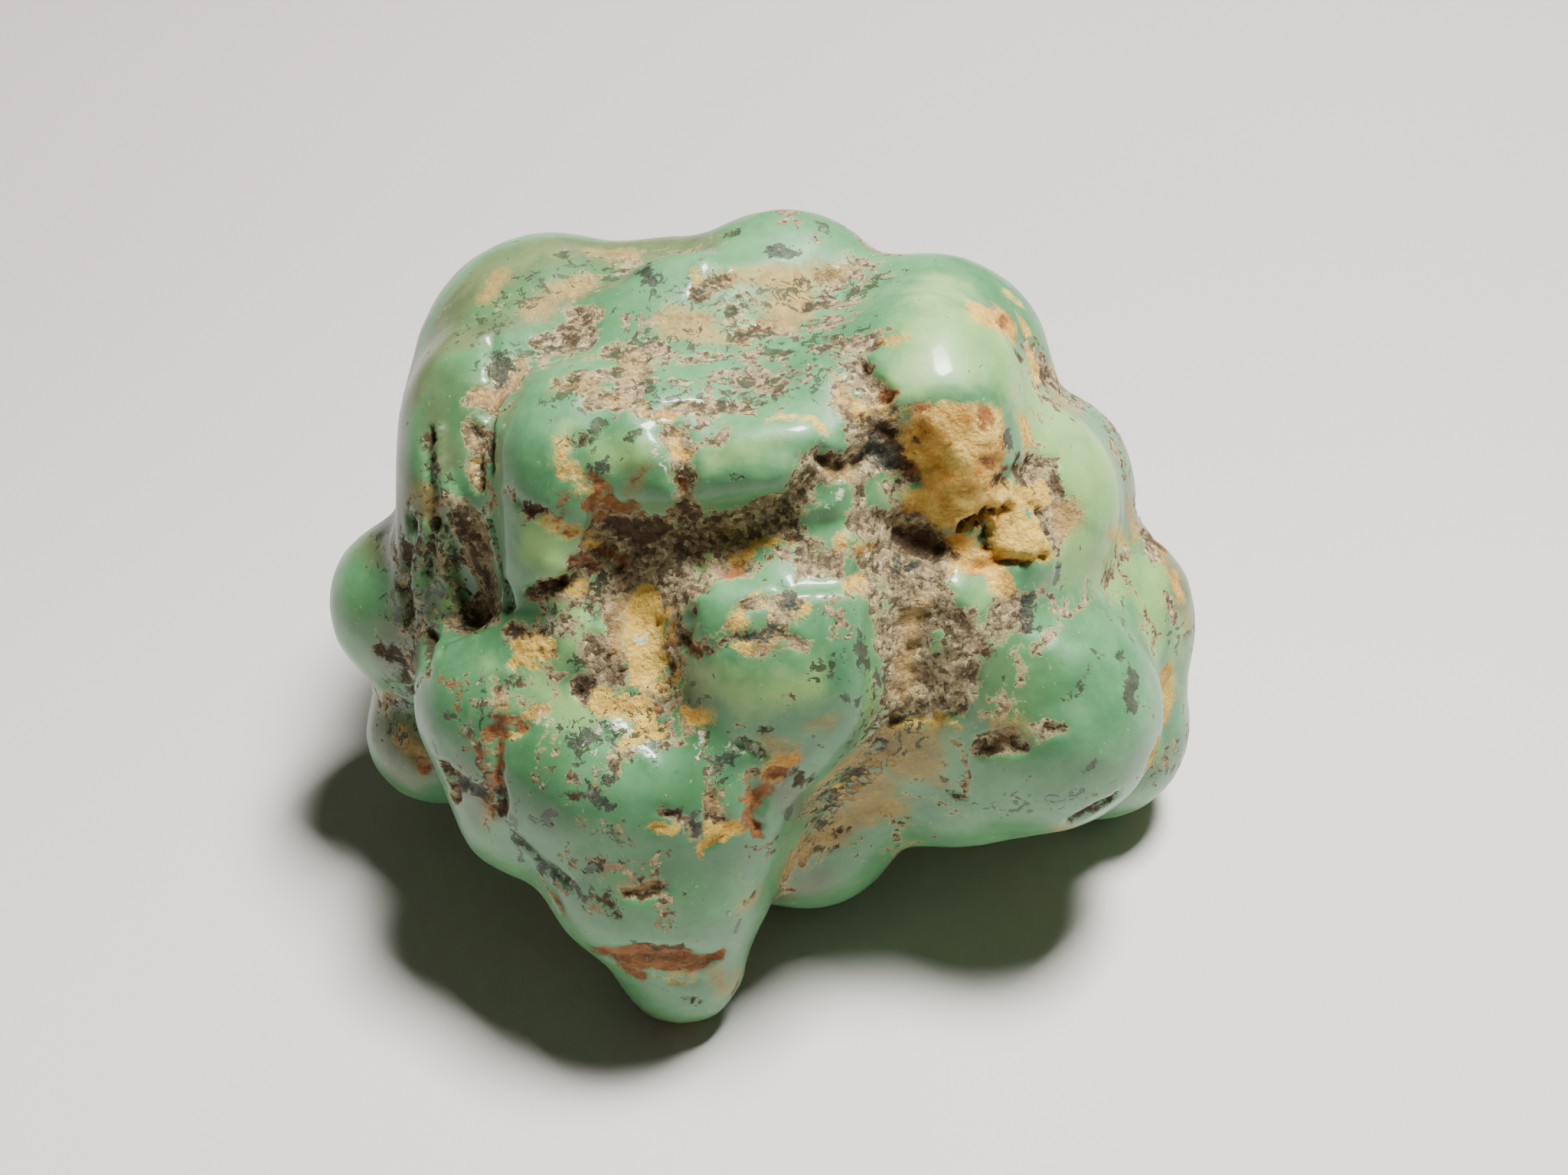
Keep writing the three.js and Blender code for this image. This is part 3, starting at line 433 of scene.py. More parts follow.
        Band(0.2, -7.3, -8.6, -6.9, -8.7), Band(0.5, -13.9, -9.4, -13.3, -9.4),
        Band(0.45, -11.3, -11.9, -10.7, -12.5, -10.3, -13), Band(0.22, -10.1, -13.2, -9.2, -13.6, -8.2, -14),
        Band(0.45, 17.1, -4.3, 17, -5, 17, -5.5), Band(0.35, 6.2, 0.8, 6.9, 0.8),
        Band(0.3, 10.8, 6.8, 10.8, 6.3), Band(0.45, 12.1, -1, 12.2, -1.6), Band(0.4, 4.7, 5.9, 5.6, 5.6),
        Band(0.5, -5.6, 14.6, -5.1, 14.3), Band(0.4, 0.5, 15.9, 1.1, 15.8), Band(0.3, 2.6, 17.4, 2.9, 17.3),
    ),
    Mark.SPECK: (
        Band(0.22, -11.1, 7.8), Band(0.16, -10.3, 7.85, -9.7, 7.95), Band(0.28, -9.5, 8.3, -8.9, 8.35),
        Band(0.15, -9.3, 7.1), Band(0.25, -11.3, 10.7, -10.9, 10.6), Band(0.2, -13.6, 8.7),
        Band(0.3, -7.4, 6.8, -7, 6.8), Band(0.14, -7.45, 6.5, -7.4, 5.5), Band(0.12, -5.9, 6.1, -5.4, 6.3),
        Band(0.25, -4, 8.2, -3.7, 7.9), Band(0.2, -1.9, 9.15, -1.5, 9.1), Band(0.1, -0.9, 9.25, -0.1, 9.4),
        Band(0.25, -0.1, 10.4, 0.6, 10.6, 1.1, 10.7), Band(0.15, -1, 10.2, -0.6, 10.2),
        Band(0.2, -1.8, 12.5, -1.6, 12.6), Band(0.15, -1, 13.55, -0.6, 13.6),
        Band(0.15, -0.2, 13.5, 0, 13.55), Band(0.15, -5, 13.3, -4.1, 13.6), Band(0.15, -7.4, 12.25),
        Band(0.18, -5.5, 12.7), Band(0.2, -7.1, 10.8, -6.5, 10.7), Band(0.15, -1.5, 4.35),
        Band(0.15, -1.05, 4.35), Band(0.12, -1.1, 5.05), Band(0.2, -0.2, 0.15),
        Band(0.12, -6.8, -0.3, -7.2, -0.2), Band(0.1, -7.9, -0.7, -7.7, -0.9, -8, -1), Band(0.2, -9.4, -1.8),
        Band(0.12, -10.4, -2.2, -9.6, -2.3), Band(0.07, -9.3, -2.5, -8.2, -2.6),
        Band(0.3, -8.5, -3.4, -8.2, -3.7), Band(0.17, -12.4, -3.9),
        Band(0.1, -9.5, -4.7, -9.1, -4.85, -8.7, -4.8), Band(0.1, -9.8, -5), Band(0.12, -8.7, -5.7),
        Band(0.12, -8.6, -8.05, -8.4, -8.05), Band(0.12, -15.6, -7), Band(0.2, -15.3, -7.4, -15.2, -7.8),
        Band(0.22, -13.4, -6.6), Band(0.1, -13.9, -6.2, -13.5, -6.5, -13.2, -7.2, -13.1, -7.8),
        Band(0.25, -14.6, -5.9, -14.1, -6.1), Band(0.1, -8.2, -9),
        Band(0.25, -10.6, -10.4, -10, -10.6, -9.7, -10.3), Band(0.2, -11.7, -10.7, -11.4, -10.8),
        Band(0.2, -12, -11.1, -11.4, -11.3), Band(0.15, -11.6, -12.1, -11.5, -12.8),
        Band(0.28, -6.9, -10.8, -6.7, -11.1), Band(0.25, -7.8, -12.85, -7.5, -12.8), Band(0.1, -3.4, -14.15),
        Band(0.1, -3.5, -14.6), Band(0.1, -2.9, -14.25), Band(0.08, -2.9, -15, -2.6, -14.95),
        Band(0.22, -1.4, -16.1, -1.1, -15.7), Band(0.15, -2.7, -5), Band(0.1, -3.1, -4.4, -2.8, -4.4),
        Band(0.1, -3.1, -5.2, -2.8, -5.3), Band(0.14, -1.5, -6.55), Band(0.12, -2.6, -6.2, -2.5, -7),
        Band(0.25, 1.2, -10.3, 1, -10.9), Band(0.12, 0.6, -11.7, 0.6, -12.3), Band(0.1, 1.7, -12.8),
        Band(0.1, 2.2, -12.7), Band(0.12, 2.9, -12.9, 3.2, -12.9), Band(0.1, 0.6, -14.9, 0.3, -15.2),
        Band(0.15, 2.3, -6.7), Band(0.1, 2.8, -6.5), Band(0.12, 2.5, -7.2, 2.7, -7.1), Band(0.12, 1.5, -7.2),
        Band(0.12, 2.6, -8.6), Band(0.15, 2.3, -3.8, 2.5, -3.5), Band(0.13, 3, -3.6, 3.1, -4),
        Band(0.1, 3.4, -2.8, 3.4, -3.2), Band(0.15, 3.4, 2.7), Band(0.1, 2.2, 8.7, 2.4, 8.3),
        Band(0.1, 2.6, 7.9), Band(0.15, 5.1, 12.2), Band(0.15, 4.3, 14), Band(0.12, 6.4, 14.95, 6.8, 15.05),
        Band(0.15, 8, -7.3), Band(0.1, 8.3, -8.6, 8.5, -8.6), Band(0.15, 4.6, 4.7), Band(0.15, 6, 4.8),
        Band(0.35, 13.5, 0.8, 13.5, 0.3), Band(0.2, 8.9, 0.4, 9.3, 0.5), Band(0.12, 16.2, -1.5, 16.3, -1.7),
        Band(0.18, 17, -1.7, 17, -2.2, 17.3, -2.6), Band(0.12, 17.4, -3.1, 17.2, -3.3),
        Band(0.25, 16.6, -3.1, 16.5, -3.4), Band(0.2, 14.9, -3.3), Band(0.22, 15.2, -3.6),
        Band(0.1, 15.6, -3.4), Band(0.1, 15.5, -2.8), Band(0.12, 14.6, -4, 14.5, -4.4),
        Band(0.12, 14.2, -4.9), Band(0.2, 13.9, -5.3, 14, -5.4), Band(0.1, 14.3, -5.2),
        Band(0.16, 13.4, -6.6, 13.8, -6.5), Band(0.1, 14.7, -6), Band(0.15, 15, -7.5, 15.4, -7.2),
        Band(0.25, 14.9, -8.5, 15.1, -8.2), Band(0.13, 14.6, -9.6, 14.9, -9.5),
        Band(0.12, 14, -9.8, 14.3, -9.8), Band(0.13, 10.1, -10.4, 10.8, -10.5),
        Band(0.13, 11.3, -10.6, 11.7, -10.5), Band(0.15, 12.1, -10.5, 12.4, -10.5),
        Band(0.12, 11.3, -10.9, 11.2, -11.1), Band(0.1, 10.7, -4.5), Band(0.1, 16.1, -9.4, 16.3, -9.3),
        Band(0.1, 17.5, -0.6, 17.3, -1.1), Band(0.2, 18.2, -6.1), Band(0.3, -7.6, 14.6, -7.2, 14.6),
        Band(0.3, -10, 16, -9.8, 16.2), Band(0.3, -1.7, 17, -1.6, 16.8),
    ),
    Mark.SPRAY: (
        Band(0.9, -13, -5, -13.2, -7.4, -11.8, -9.6), Band(0.7, -9.5, 9, -7.6, 8.8, -6.4, 9.6),
        Band(0.6, -4, 10.4, -1.4, 9.8, 0.4, 10.4), Band(0.5, -3, 7.6, -0.6, 7.7, 0.6, 8.2),
        Band(0.8, -7.4, 0.2, -8.6, -1.6, -9.6, -1.4), Band(0.9, -7.2, -5.2, -5.4, -5.6, -5.2, -6.8),
        Band(0.7, 4.4, -4.4, 4.8, -6.2), Band(0.8, -14, -1.6, -12.4, -1.4), Band(0.7, -7.6, -9, -6.8, -8.4),
        Band(0.6, -2, -8.6, -2.6, -9.8), Band(0.6, 1.6, 9, 2.6, 8.2), Band(0.6, 2.4, -3.8, 3.4, -3.4),
        Band(0.6, -8, -13.9, -7, -14.4), Band(0.8, 8.3, -2.6, 9, -3.4),
        Band(1.2, 6.4, -7, 3.6, -9.4, 2.4, -12), Band(1.2, -8.4, -6.6, -6.8, -6.9, -5.4, -7.6),
        Band(1.4, -8, 15.4, -11.6, 14, -14, 11.6), Band(1.2, -15.4, 5, -15.4, 1, -16.8, -1.6),
        Band(1.4, -19.2, 3, -17.8, 0.4, -17.6, -3, -18.4, -7), Band(1.3, -9, 8.6, -4, 8.4, 1, 8.8, 3, 9.6),
        Band(1.3, -6.4, 10.6, -1, 11, 4, 11.2), Band(1.2, -5, 13.6, 0, 13.4, 5.6, 14.4),
        Band(1.0, -12.8, 10, -10, 11.4), Band(0.9, 10.8, -10.2, 14.4, -10),
    ),
    # pale green stone, and painted light that lightens faces turned to the viewer
    Mark.PALE_AND_LIT: (
        Band(2.6, 8, 11, 12, 9, 14.4, 6, 16.4, 4.4), Band(1.6, 14, 1.4, 17, 0.8),
        Band(1.4, 6.6, 9.4, 8.6, 14), Band(1.0, -10, -4.6, -9, -5.6, -8.4, -5.4),
        Band(0.7, -8.6, -1.4, -8, -2.2, -8.8, -2.9), Band(0.7, 5.4, 4.1, 5.7, 4),
        Band(0.5, -1.4, 12.6, -1, 12), Band(0.7, 4.6, -5, 5, -6.4), Band(0.6, 9, -0.1, 9.6, -0.4),
        Band(1.2, 18.9, 0.4, 19, -3), Band(0.6, -2.6, 0.8, -2.5, 0.4), Band(0.8, 19.6, -8.2, 20.6, -2.6),
        Band(0.9, -2.4, -4.2, 0, -5, 2.2, -4.2), Band(0.6, -7.2, 5.6, -5.6, 5.6),
        Band(0.9, -10.2, 1.8, -9.4, 1.2), Band(0.4, -9.2, 5.4, -8.6, 6.6), Band(0.3, -14, -2.2, -12.4, -3.6),
        Band(0.4, -15.4, 2.6, -15.2, 1, -15, -0.6), Band(0.4, -2.4, 5.2, 0.6, 5.8),
    ),
    # deep green stone, and painted shade on sides that turn from the light
    Mark.DEEP_AND_SHADED: (
        Band(0.8, -3.3, -6.8, -3.2, -8.2, -3.4, -9.4), Band(1.0, -10.4, -7.3, -9.6, -8),
        Band(0.4, -4.5, 4.1, -4.4, 3.7), Band(1.0, -2.4, -12.8, -1.2, -12.6), Band(0.6, 0.6, 9.6, 1.4, 9.6),
        Band(1.2, -4.2, -13, -2.8, -13.8), Band(0.8, -19.6, -1.2, -19.9, -1.8),
        Band(1.6, 9.6, -4.2, 11.2, -5, 12.4, -4.6), Band(1.2, -14.2, 9.4, -13.6, 7.4),
        Band(1.0, -10.6, -9, -9.4, -10.4), Band(1.0, -13.6, 13, -9, 15.2, -5, 15.4),
    ),
    # olive-grey stone, and painted shade on sides that turn from the light
    Mark.OLIVE_AND_SHADED: (
        Band(0.9, -15.3, 3.4, -15.4, 1.4, -15, -0.4), Band(3.2, -14.6, 12.6, -12, 14.8, -9, 15.6, -5, 16),
        Band(1.6, -16.4, 9.6, -16, 12), Band(1.3, -17, 4.6, -17.6, 2.6, -19.4, 2.2),
        Band(1.2, -16.4, -1, -17.4, -1.4, -18.4, -4), Band(1.0, -17.8, 3.4, -17.2, 0.6, -16.8, -3.4),
        Band(1.8, -19.2, -6.6, -18.4, -9), Band(1.0, -15, 8.6, -14.8, 6), Band(0.9, -13.4, -10.4, -14, -8.8),
        Band(1.2, 19.4, 4.2, 20.2, 1.4, 21, -1.2), Band(1.0, 18.2, -10, 17, -11.4),
        Band(1.2, 2.4, -14.6, 0.6, -15.2), Band(0.9, -3.2, -5, -2.8, -4.6), Band(0.9, 0.6, -9.2, 2.2, -10.6),
        Band(1.4, 10, -4.4, 11.2, -5.4), Band(1.3, -14.8, 9.2, -13.8, 7.6),
    ),
}


# ---------------------------------------------------------------- shader building


class Value:
    """A number socket that takes part in Python arithmetic, adding a Math node for each step."""

    def __init__(self, shader: "Shader", socket: bpy.types.NodeSocket) -> None:
        """Wraps a socket of a shader."""
        self.shader = shader
        self.socket = socket

    def _math(self, operation: str, first: Part, second: Part) -> "Value":
        """Adds one Math node.

        Args:
            operation: the Math node's operation.
            first, second: its two inputs.

        Returns:
            The node's result.
        """
        node = self.shader.node("ShaderNodeMath", {"operation": operation}, {0: first, 1: second})
        return Value(self.shader, node.outputs[0])

    def __add__(self, other: Part) -> "Value":
        """self + other."""
        return self._math("ADD", self, other)

    __radd__ = __add__

    def __sub__(self, other: Part) -> "Value":
        """self - other."""
        return self._math("SUBTRACT", self, other)

    def __rsub__(self, other: Part) -> "Value":
        """other - self."""
        return self._math("SUBTRACT", other, self)

    def __mul__(self, other: Part) -> "Value":
        """self * other."""
        return self._math("MULTIPLY", self, other)

    __rmul__ = __mul__

    def least(self, other: Part) -> "Value":
        """The smaller of the two."""
        return self._math("MINIMUM", self, other)

    def most(self, other: Part) -> "Value":
        """The larger of the two."""
        return self._math("MAXIMUM", self, other)

    def rise(self, low: float, high: float) -> "Value":
        """Goes smoothly from 0 at low to 1 at high, and stays there.

        Args:
            low, high: the ends of the rise. It is a fall where low is above high.

        Returns:
            The share from 0 to 1.
        """
        settings = {"interpolation_type": "SMOOTHSTEP", "clamp": True}
        node = self.shader.node("ShaderNodeMapRange", settings, {0: self, 1: low, 2: high, 3: 0.0, 4: 1.0})
        return Value(self.shader, node.outputs[0])


class Shader:
    """A material's node tree, built node by node."""

    def __init__(self, name: str) -> None:
        """Starts an empty material."""
        self.material = bpy.data.materials.new(name)
        self.material.use_nodes = True
        self.tree = self.material.node_tree
        self.tree.nodes.clear()
        self.place = self.node("ShaderNodeTexCoord", {}, {}).outputs["Object"]

    def node(self, kind: str, settings: Dict[str, object],
             inputs: Dict[Union[int, str], Part]) -> bpy.types.Node:
        """Adds a node, sets it, and then fills its sockets.

        Args:
            kind: the node's type.
            settings: the node's own properties.
            inputs: a number, colour or link for each socket, by its name or its index.

        Returns:
            The node.
        """
        node = self.tree.nodes.new(kind)
        for name, setting in settings.items():
            setattr(node, name, setting)
        for key, part in inputs.items():
            socket = node.inputs[key]
            if isinstance(part, Value):
                self.tree.links.new(part.socket, socket)
            elif isinstance(part, bpy.types.NodeSocket):
                self.tree.links.new(part, socket)
            elif isinstance(part, tuple) and socket.type == "RGBA":
                socket.default_value = (*part, 1.0)
            else:
                socket.default_value = part
        return node

    def stored(self, name: str) -> Value:
        """Reads a number that the skin's points hold.

        Args:
            name: the attribute's name.

        Returns:
            Its value across the skin.
        """
        return Value(self, self.node("ShaderNodeAttribute", {"attribute_name": name}, {}).outputs["Fac"])

    def grain(self, size: float, detail: float = 3.0, roughness: float = 0.55, twist: float = 0.0,
              seed: float = 0.0) -> Value:
        """Adds a noise, centred on zero, of about -0.5 to 0.5.

        Args:
            size: the length of its largest patches.
            detail: how many finer layers it has.
            roughness: how strong those layers are.
            twist: how far it is distorted.
            seed: moves it to another place.

        Returns:
            The noise.
        """
        shifted = self.node("ShaderNodeVectorMath", {"operation": "ADD"},
                            {0: self.place, 1: (seed, seed, -seed)})
        inputs = {"Vector": shifted.outputs[0], "Scale": 1.0 / (size * MM), "Detail": detail,
                  "Roughness": roughness, "Distortion": twist}
        return Value(self, self.node("ShaderNodeTexNoise", {}, inputs).outputs["Fac"]) - 0.5

    def _bent(self, ripple: Dict[str, float], bend: float, seed: float) -> bpy.types.NodeSocket:
        """Bends the places that a pattern is laid out on.

        Args:
            ripple: the settings of the noise that bends them.
            bend: how far they are bent.
            seed: moves the pattern to another place.

        Returns:
            The bent places.
        """
        colour = self.node("ShaderNodeTexNoise", {}, {"Vector": self.place, **ripple}).outputs["Color"]
        moved = self.node("ShaderNodeVectorMath", {"operation": "MULTIPLY_ADD"},
                          {0: colour, 1: (bend * MM,) * 3, 2: self.place})
        return self.node("ShaderNodeVectorMath", {"operation": "ADD"},
                         {0: moved.outputs[0], 1: (seed,) * 3}).outputs[0]

    def chips(self, size: float, bend: float, seed: float) -> Tuple[Value, Value]:
        """Adds a pattern of small angular chips with bent edges.

        Args:
            size: the width of a chip.
            bend: how far its edges are bent.
            seed: moves it to another place.

        Returns:
            A number from 0 to 1 that is the same across a chip, and the distance from the chip's middle.
        """
        ripple = {"Scale": 1.0 / (size * MM), "Detail": 3.0, "Roughness": 0.5}
        inputs = {"Vector": self._bent(ripple, bend, seed), "Scale": 1.0 / (size * MM)}
        cells = self.node("ShaderNodeTexVoronoi", {}, inputs)
        split = self.node("ShaderNodeSeparateColor", {}, {0: cells.outputs["Color"]})
        return Value(self, split.outputs[0]), Value(self, cells.outputs["Distance"])

    def web(self, size: float, bend: float, seed: float) -> Value:
        """Adds a net of bent lines.

        Args:
            size: the width of a mesh of the net.
            bend: how far its lines are bent.
            seed: moves it to another place.

        Returns:
            The distance from the nearest line, as a share of the size.
        """
        ripple = {"Scale": 1.6 / (size * MM), "Detail": 4.0, "Roughness": 0.6}
        inputs = {"Vector": self._bent(ripple, bend, seed), "Scale": 1.0 / (size * MM)}
        cells = self.node("ShaderNodeTexVoronoi", {"feature": "DISTANCE_TO_EDGE"}, inputs)
        return Value(self, cells.outputs["Distance"])

    def finish(self, inputs: Dict[Union[int, str], Part]) -> bpy.types.Material:
        """Closes the material with one surface.

        Args:
            inputs: what the surface's sockets get.

        Returns:
            The material.
        """
        surface = self.node("ShaderNodeBsdfPrincipled", {}, inputs)
        self.node("ShaderNodeOutputMaterial", {}, {"Surface": surface.outputs[0]})
        return self.material

    def blend(self, share: Part, under: Part, over: Part) -> bpy.types.NodeSocket:
        """Lays one colour over another.

        Args:
            share: how much of the upper colour shows, from 0 to 1.
            under, over: the colours.

        Returns:
            The mixed colour.
        """
        mix = self.node("ShaderNodeMix", {"data_type": "RGBA", "clamp_factor": True},
                        {0: share, 6: under, 7: over})
        return mix.outputs[2]


# ---------------------------------------------------------------- finishes


@dataclass(frozen=True)
class Tone:
    """A pair of display colours that a substance wanders between, and its roughness as a surface."""

    dark: Display
    light: Display
    roughness: float = 0.5


@dataclass(frozen=True)
class Stain:
    """How a substance lies over the stone where it has been marked.

    Its edge frays by a share of the noise and is soft over a width. It hides what is under it up to a share,
    and takes a share of the polish away.
    """

    mark: Mark
    tone: Tone
    frays: float
    soft: float
    hides: float = 0.95
    dulls: float = 1.0


@dataclass(frozen=True)
class Wash:
    """A tint of the green stone, up to a share. Some tints also carry painted light and shade."""

    mark: Mark
    tone: Tone
    most: float


@dataclass(frozen=True)
class StoneFinish:
    """The nugget's finish: polished green stone, gritty matrix, what stains and fills them, and painted
    light and shade.
    """

    green: Tone = Tone((66, 124, 78), (106, 164, 110), 0.48)
    washes: Tuple[Wash, ...] = (
        # the olive tint: olive-grey stone, and painted shade on sides that turn from the light
        Wash(Mark.OLIVE_AND_SHADED, Tone((72, 84, 54), (120, 132, 86)), 0.9),
        # the pale tint: pale green stone, and painted light on faces turned to the viewer
        Wash(Mark.PALE_AND_LIT, Tone((124, 174, 98), (164, 200, 118)), 0.85),
        # the deep tint: deep green stone, and painted shade on sides that turn from the light
        Wash(Mark.DEEP_AND_SHADED, Tone((56, 108, 64), (84, 136, 82)), 0.75),
    )
    matrix: Tone = Tone((96, 80, 54), (194, 176, 134), 0.85)
    fleck: Tone = Tone((170, 158, 108), (210, 196, 146))
    blush: Display = (166, 132, 98)
    shade: Display = (80, 70, 46)
    halo: Display = (196, 184, 120)
    stains: Tuple[Stain, ...] = (
        Stain(Mark.PINK, Tone((152, 118, 60), (198, 162, 86), 0.6), 1.1, 0.5, 0.78, 0.5),
        Stain(Mark.CREAM, Tone((208, 160, 60), (248, 213, 98), 0.8), 1.0, 0.1),
        Stain(Mark.OCHRE, Tone((206, 134, 22), (252, 220, 108), 0.6), 1.1, 0.25),
        Stain(Mark.RUST, Tone((106, 58, 24), (172, 108, 52), 0.75), 1.0, 0.12),
        # the brown stain: dark brown matrix, and painted shade in cracks and recesses
        Stain(Mark.BROWN, Tone((48, 34, 20), (100, 76, 48), 0.85), 1.7, 0.12),
        Stain(Mark.SLATE, Tone((36, 44, 36), (80, 88, 68)), 2.2, 0.06, 0.95, 0.5),
        # the white stain: pale mineral edges, and painted glints and sheen lines
        Stain(Mark.WHITE, Tone((196, 208, 168), (234, 236, 206)), 2.0, 0.05),
    )
    speck: Tone = Tone((40, 52, 32), (78, 86, 58))
    pin: Display = (196, 208, 168)
    coat: float = 0.36
    coat_lost_on_pale: float = 0.27
    coat_roughness: float = 0.1
    bump: float = 0.8
    bump_height: float = 0.22

    def dress(self, piece: bpy.types.Object) -> None:
        """Gives a piece this finish.

        Args:
            piece: the object, whose mesh holds an attribute for each mark.
        """
        s = Shader("turquoise_in_matrix")
        broad = s.grain(6.0, 2.0)
        mottle = s.grain(1.5, 4.0, 0.6, 0.4, 0.013)
        fine = s.grain(0.35, 4.0, 0.65, 0.3, 0.027)
        edge = s.grain(0.45, 5.0, 0.66, 0.6, 0.041)
        grit = s.grain(0.4, 5.0, 0.75, 0.8, 0.071)
        dots = s.grain(0.6, 4.0, 0.7, 0.8, 0.057)
        shade, chip = s.chips(0.24, 0.18, 0.083)

        def tint(tone: Tone, share: Value) -> bpy.types.NodeSocket:
            """Mixes a tone's two colours by a share from 0 to 1."""
            return s.blend(share, linear(*tone.dark), linear(*tone.light))

        # the green stone and its tints; the pale tint is partly painted light, the deep and olive tints
        # partly painted shade
        cloud = (broad * 0.7 + mottle * 0.6 + fine * 0.2).rise(-0.32, 0.32)
        colour = tint(self.green, cloud)
        for wash in self.washes:
            share = (s.stored(wash.mark.value) + mottle * 1.4 + broad * 0.8).rise(-0.7, 0.9) * wash.most
            colour = s.blend(share, colour, tint(wash.tone, cloud))

        # the matrix, with fine veins of it in the hollows, crumbs of it on the stone, and a pale rim
        hollow = s.stored(HOLLOW)
        vein = hollow.least(0.12) * 0.9 + mottle * 0.3 + broad * 0.15 - 0.05 - s.web(2.6, 1.6, 0.019)
        near = (s.stored(Mark.MATRIX.value) + hollow * 0.6 + 0.06).most(vein * 2.4)
        matrix = (near + edge * 1.3 + mottle * 0.7).rise(-0.05, 0.05)
        crumb = (s.stored(Mark.CRUMB.value) + mottle * 0.8).rise(-0.3, 0.9) * 0.2 + hollow * 0.25
        matrix = matrix.most((edge + mottle * 0.7 + crumb).rise(0.17, 0.2))
        halo = (near + edge * 1.3 + mottle * 0.7).rise(-0.16, -0.02) * 0.5
        colour = s.blend(halo, colour, linear(*self.halo))
        ground = tint(self.matrix, (shade * 0.5 + grit * 1.6 + mottle * 0.8).rise(-0.1, 0.7))
        ground = s.blend((mottle + fine * 0.5).rise(-0.05, 0.3) * 0.6, ground, linear(*self.blush))
        ground = s.blend((grit * 1.2 + shade * 0.5).rise(0.44, 0.54) * 0.8, ground, tint(self.fleck, shade))
        ground = s.blend((edge * 1.2 - shade * 0.4).rise(-0.1, 0.0) * 0.8, ground, linear(*self.shade))
        colour = s.blend(matrix, colour, ground)
        rough = self.green.roughness + matrix * (self.matrix.roughness - self.green.roughness)
        polish = 1.0 - matrix

        # what stains and fills them; the brown is partly painted shade in cracks and recesses, and the white
        # partly painted glints
        loose = mottle + grit * 0.6
        wander = {Mark.PINK: loose, Mark.CREAM: grit + mottle * 0.5, Mark.OCHRE: loose + broad * 0.4,
                  Mark.RUST: grit + mottle, Mark.BROWN: grit + fine * 0.5, Mark.SLATE: loose,
                  Mark.WHITE: fine}
        for stain in self.stains:
            share = s.stored(stain.mark.value) + edge * stain.frays + mottle * 0.5
            share = share.rise(-stain.soft, stain.soft + 0.04)
            cover = tint(stain.tone, wander[stain.mark].rise(-0.3, 0.3))
            colour = s.blend(share * stain.hides, colour, cover)
            rough = rough + share * (stain.tone.roughness - rough)
            polish = polish.least(1.0 - share * stain.dulls)

        # dark specks and pale pinpoints
        spray = (s.stored(Mark.SPRAY.value) + mottle).rise(-0.4, 0.6)
        specks = (dots + spray * 0.13 + hollow * 0.12).rise(0.178, 0.2)
        specks = specks.most((s.stored(Mark.SPECK.value) + edge).rise(-0.04, 0.07)) * 0.92
        pins = s.grain(0.28, 2.0, 0.5, 0.0, 0.093)
        colour = s.blend(pins.rise(0.2, 0.27) * 0.4, colour, linear(*self.pin))
        colour = s.blend(specks, colour, tint(self.speck, fine.rise(-0.3, 0.3)))

        # the surface: polished on the stone, rough on everything else
        dull = (s.stored(Mark.PALE_AND_LIT.value) + mottle).rise(0.6, 1.8)
        crust = 1.0 - polish
        height = fine * (0.05 + crust * 0.5) + (grit + shade * 0.4 - chip * 0.3) * crust - specks * 0.2
        bump = s.node("ShaderNodeBump", {}, {"Strength": self.bump, "Distance": self.bump_height * MM,
                                             "Height": height})
        coat = polish * (self.coat - dull * self.coat_lost_on_pale)
        piece.data.materials.clear()
        piece.data.materials.append(s.finish({
            "Base Color": colour, "Roughness": rough, "Normal": bump.outputs[0],
            "Coat Weight": coat, "Coat Roughness": self.coat_roughness}))


# ---------------------------------------------------------------- the stone


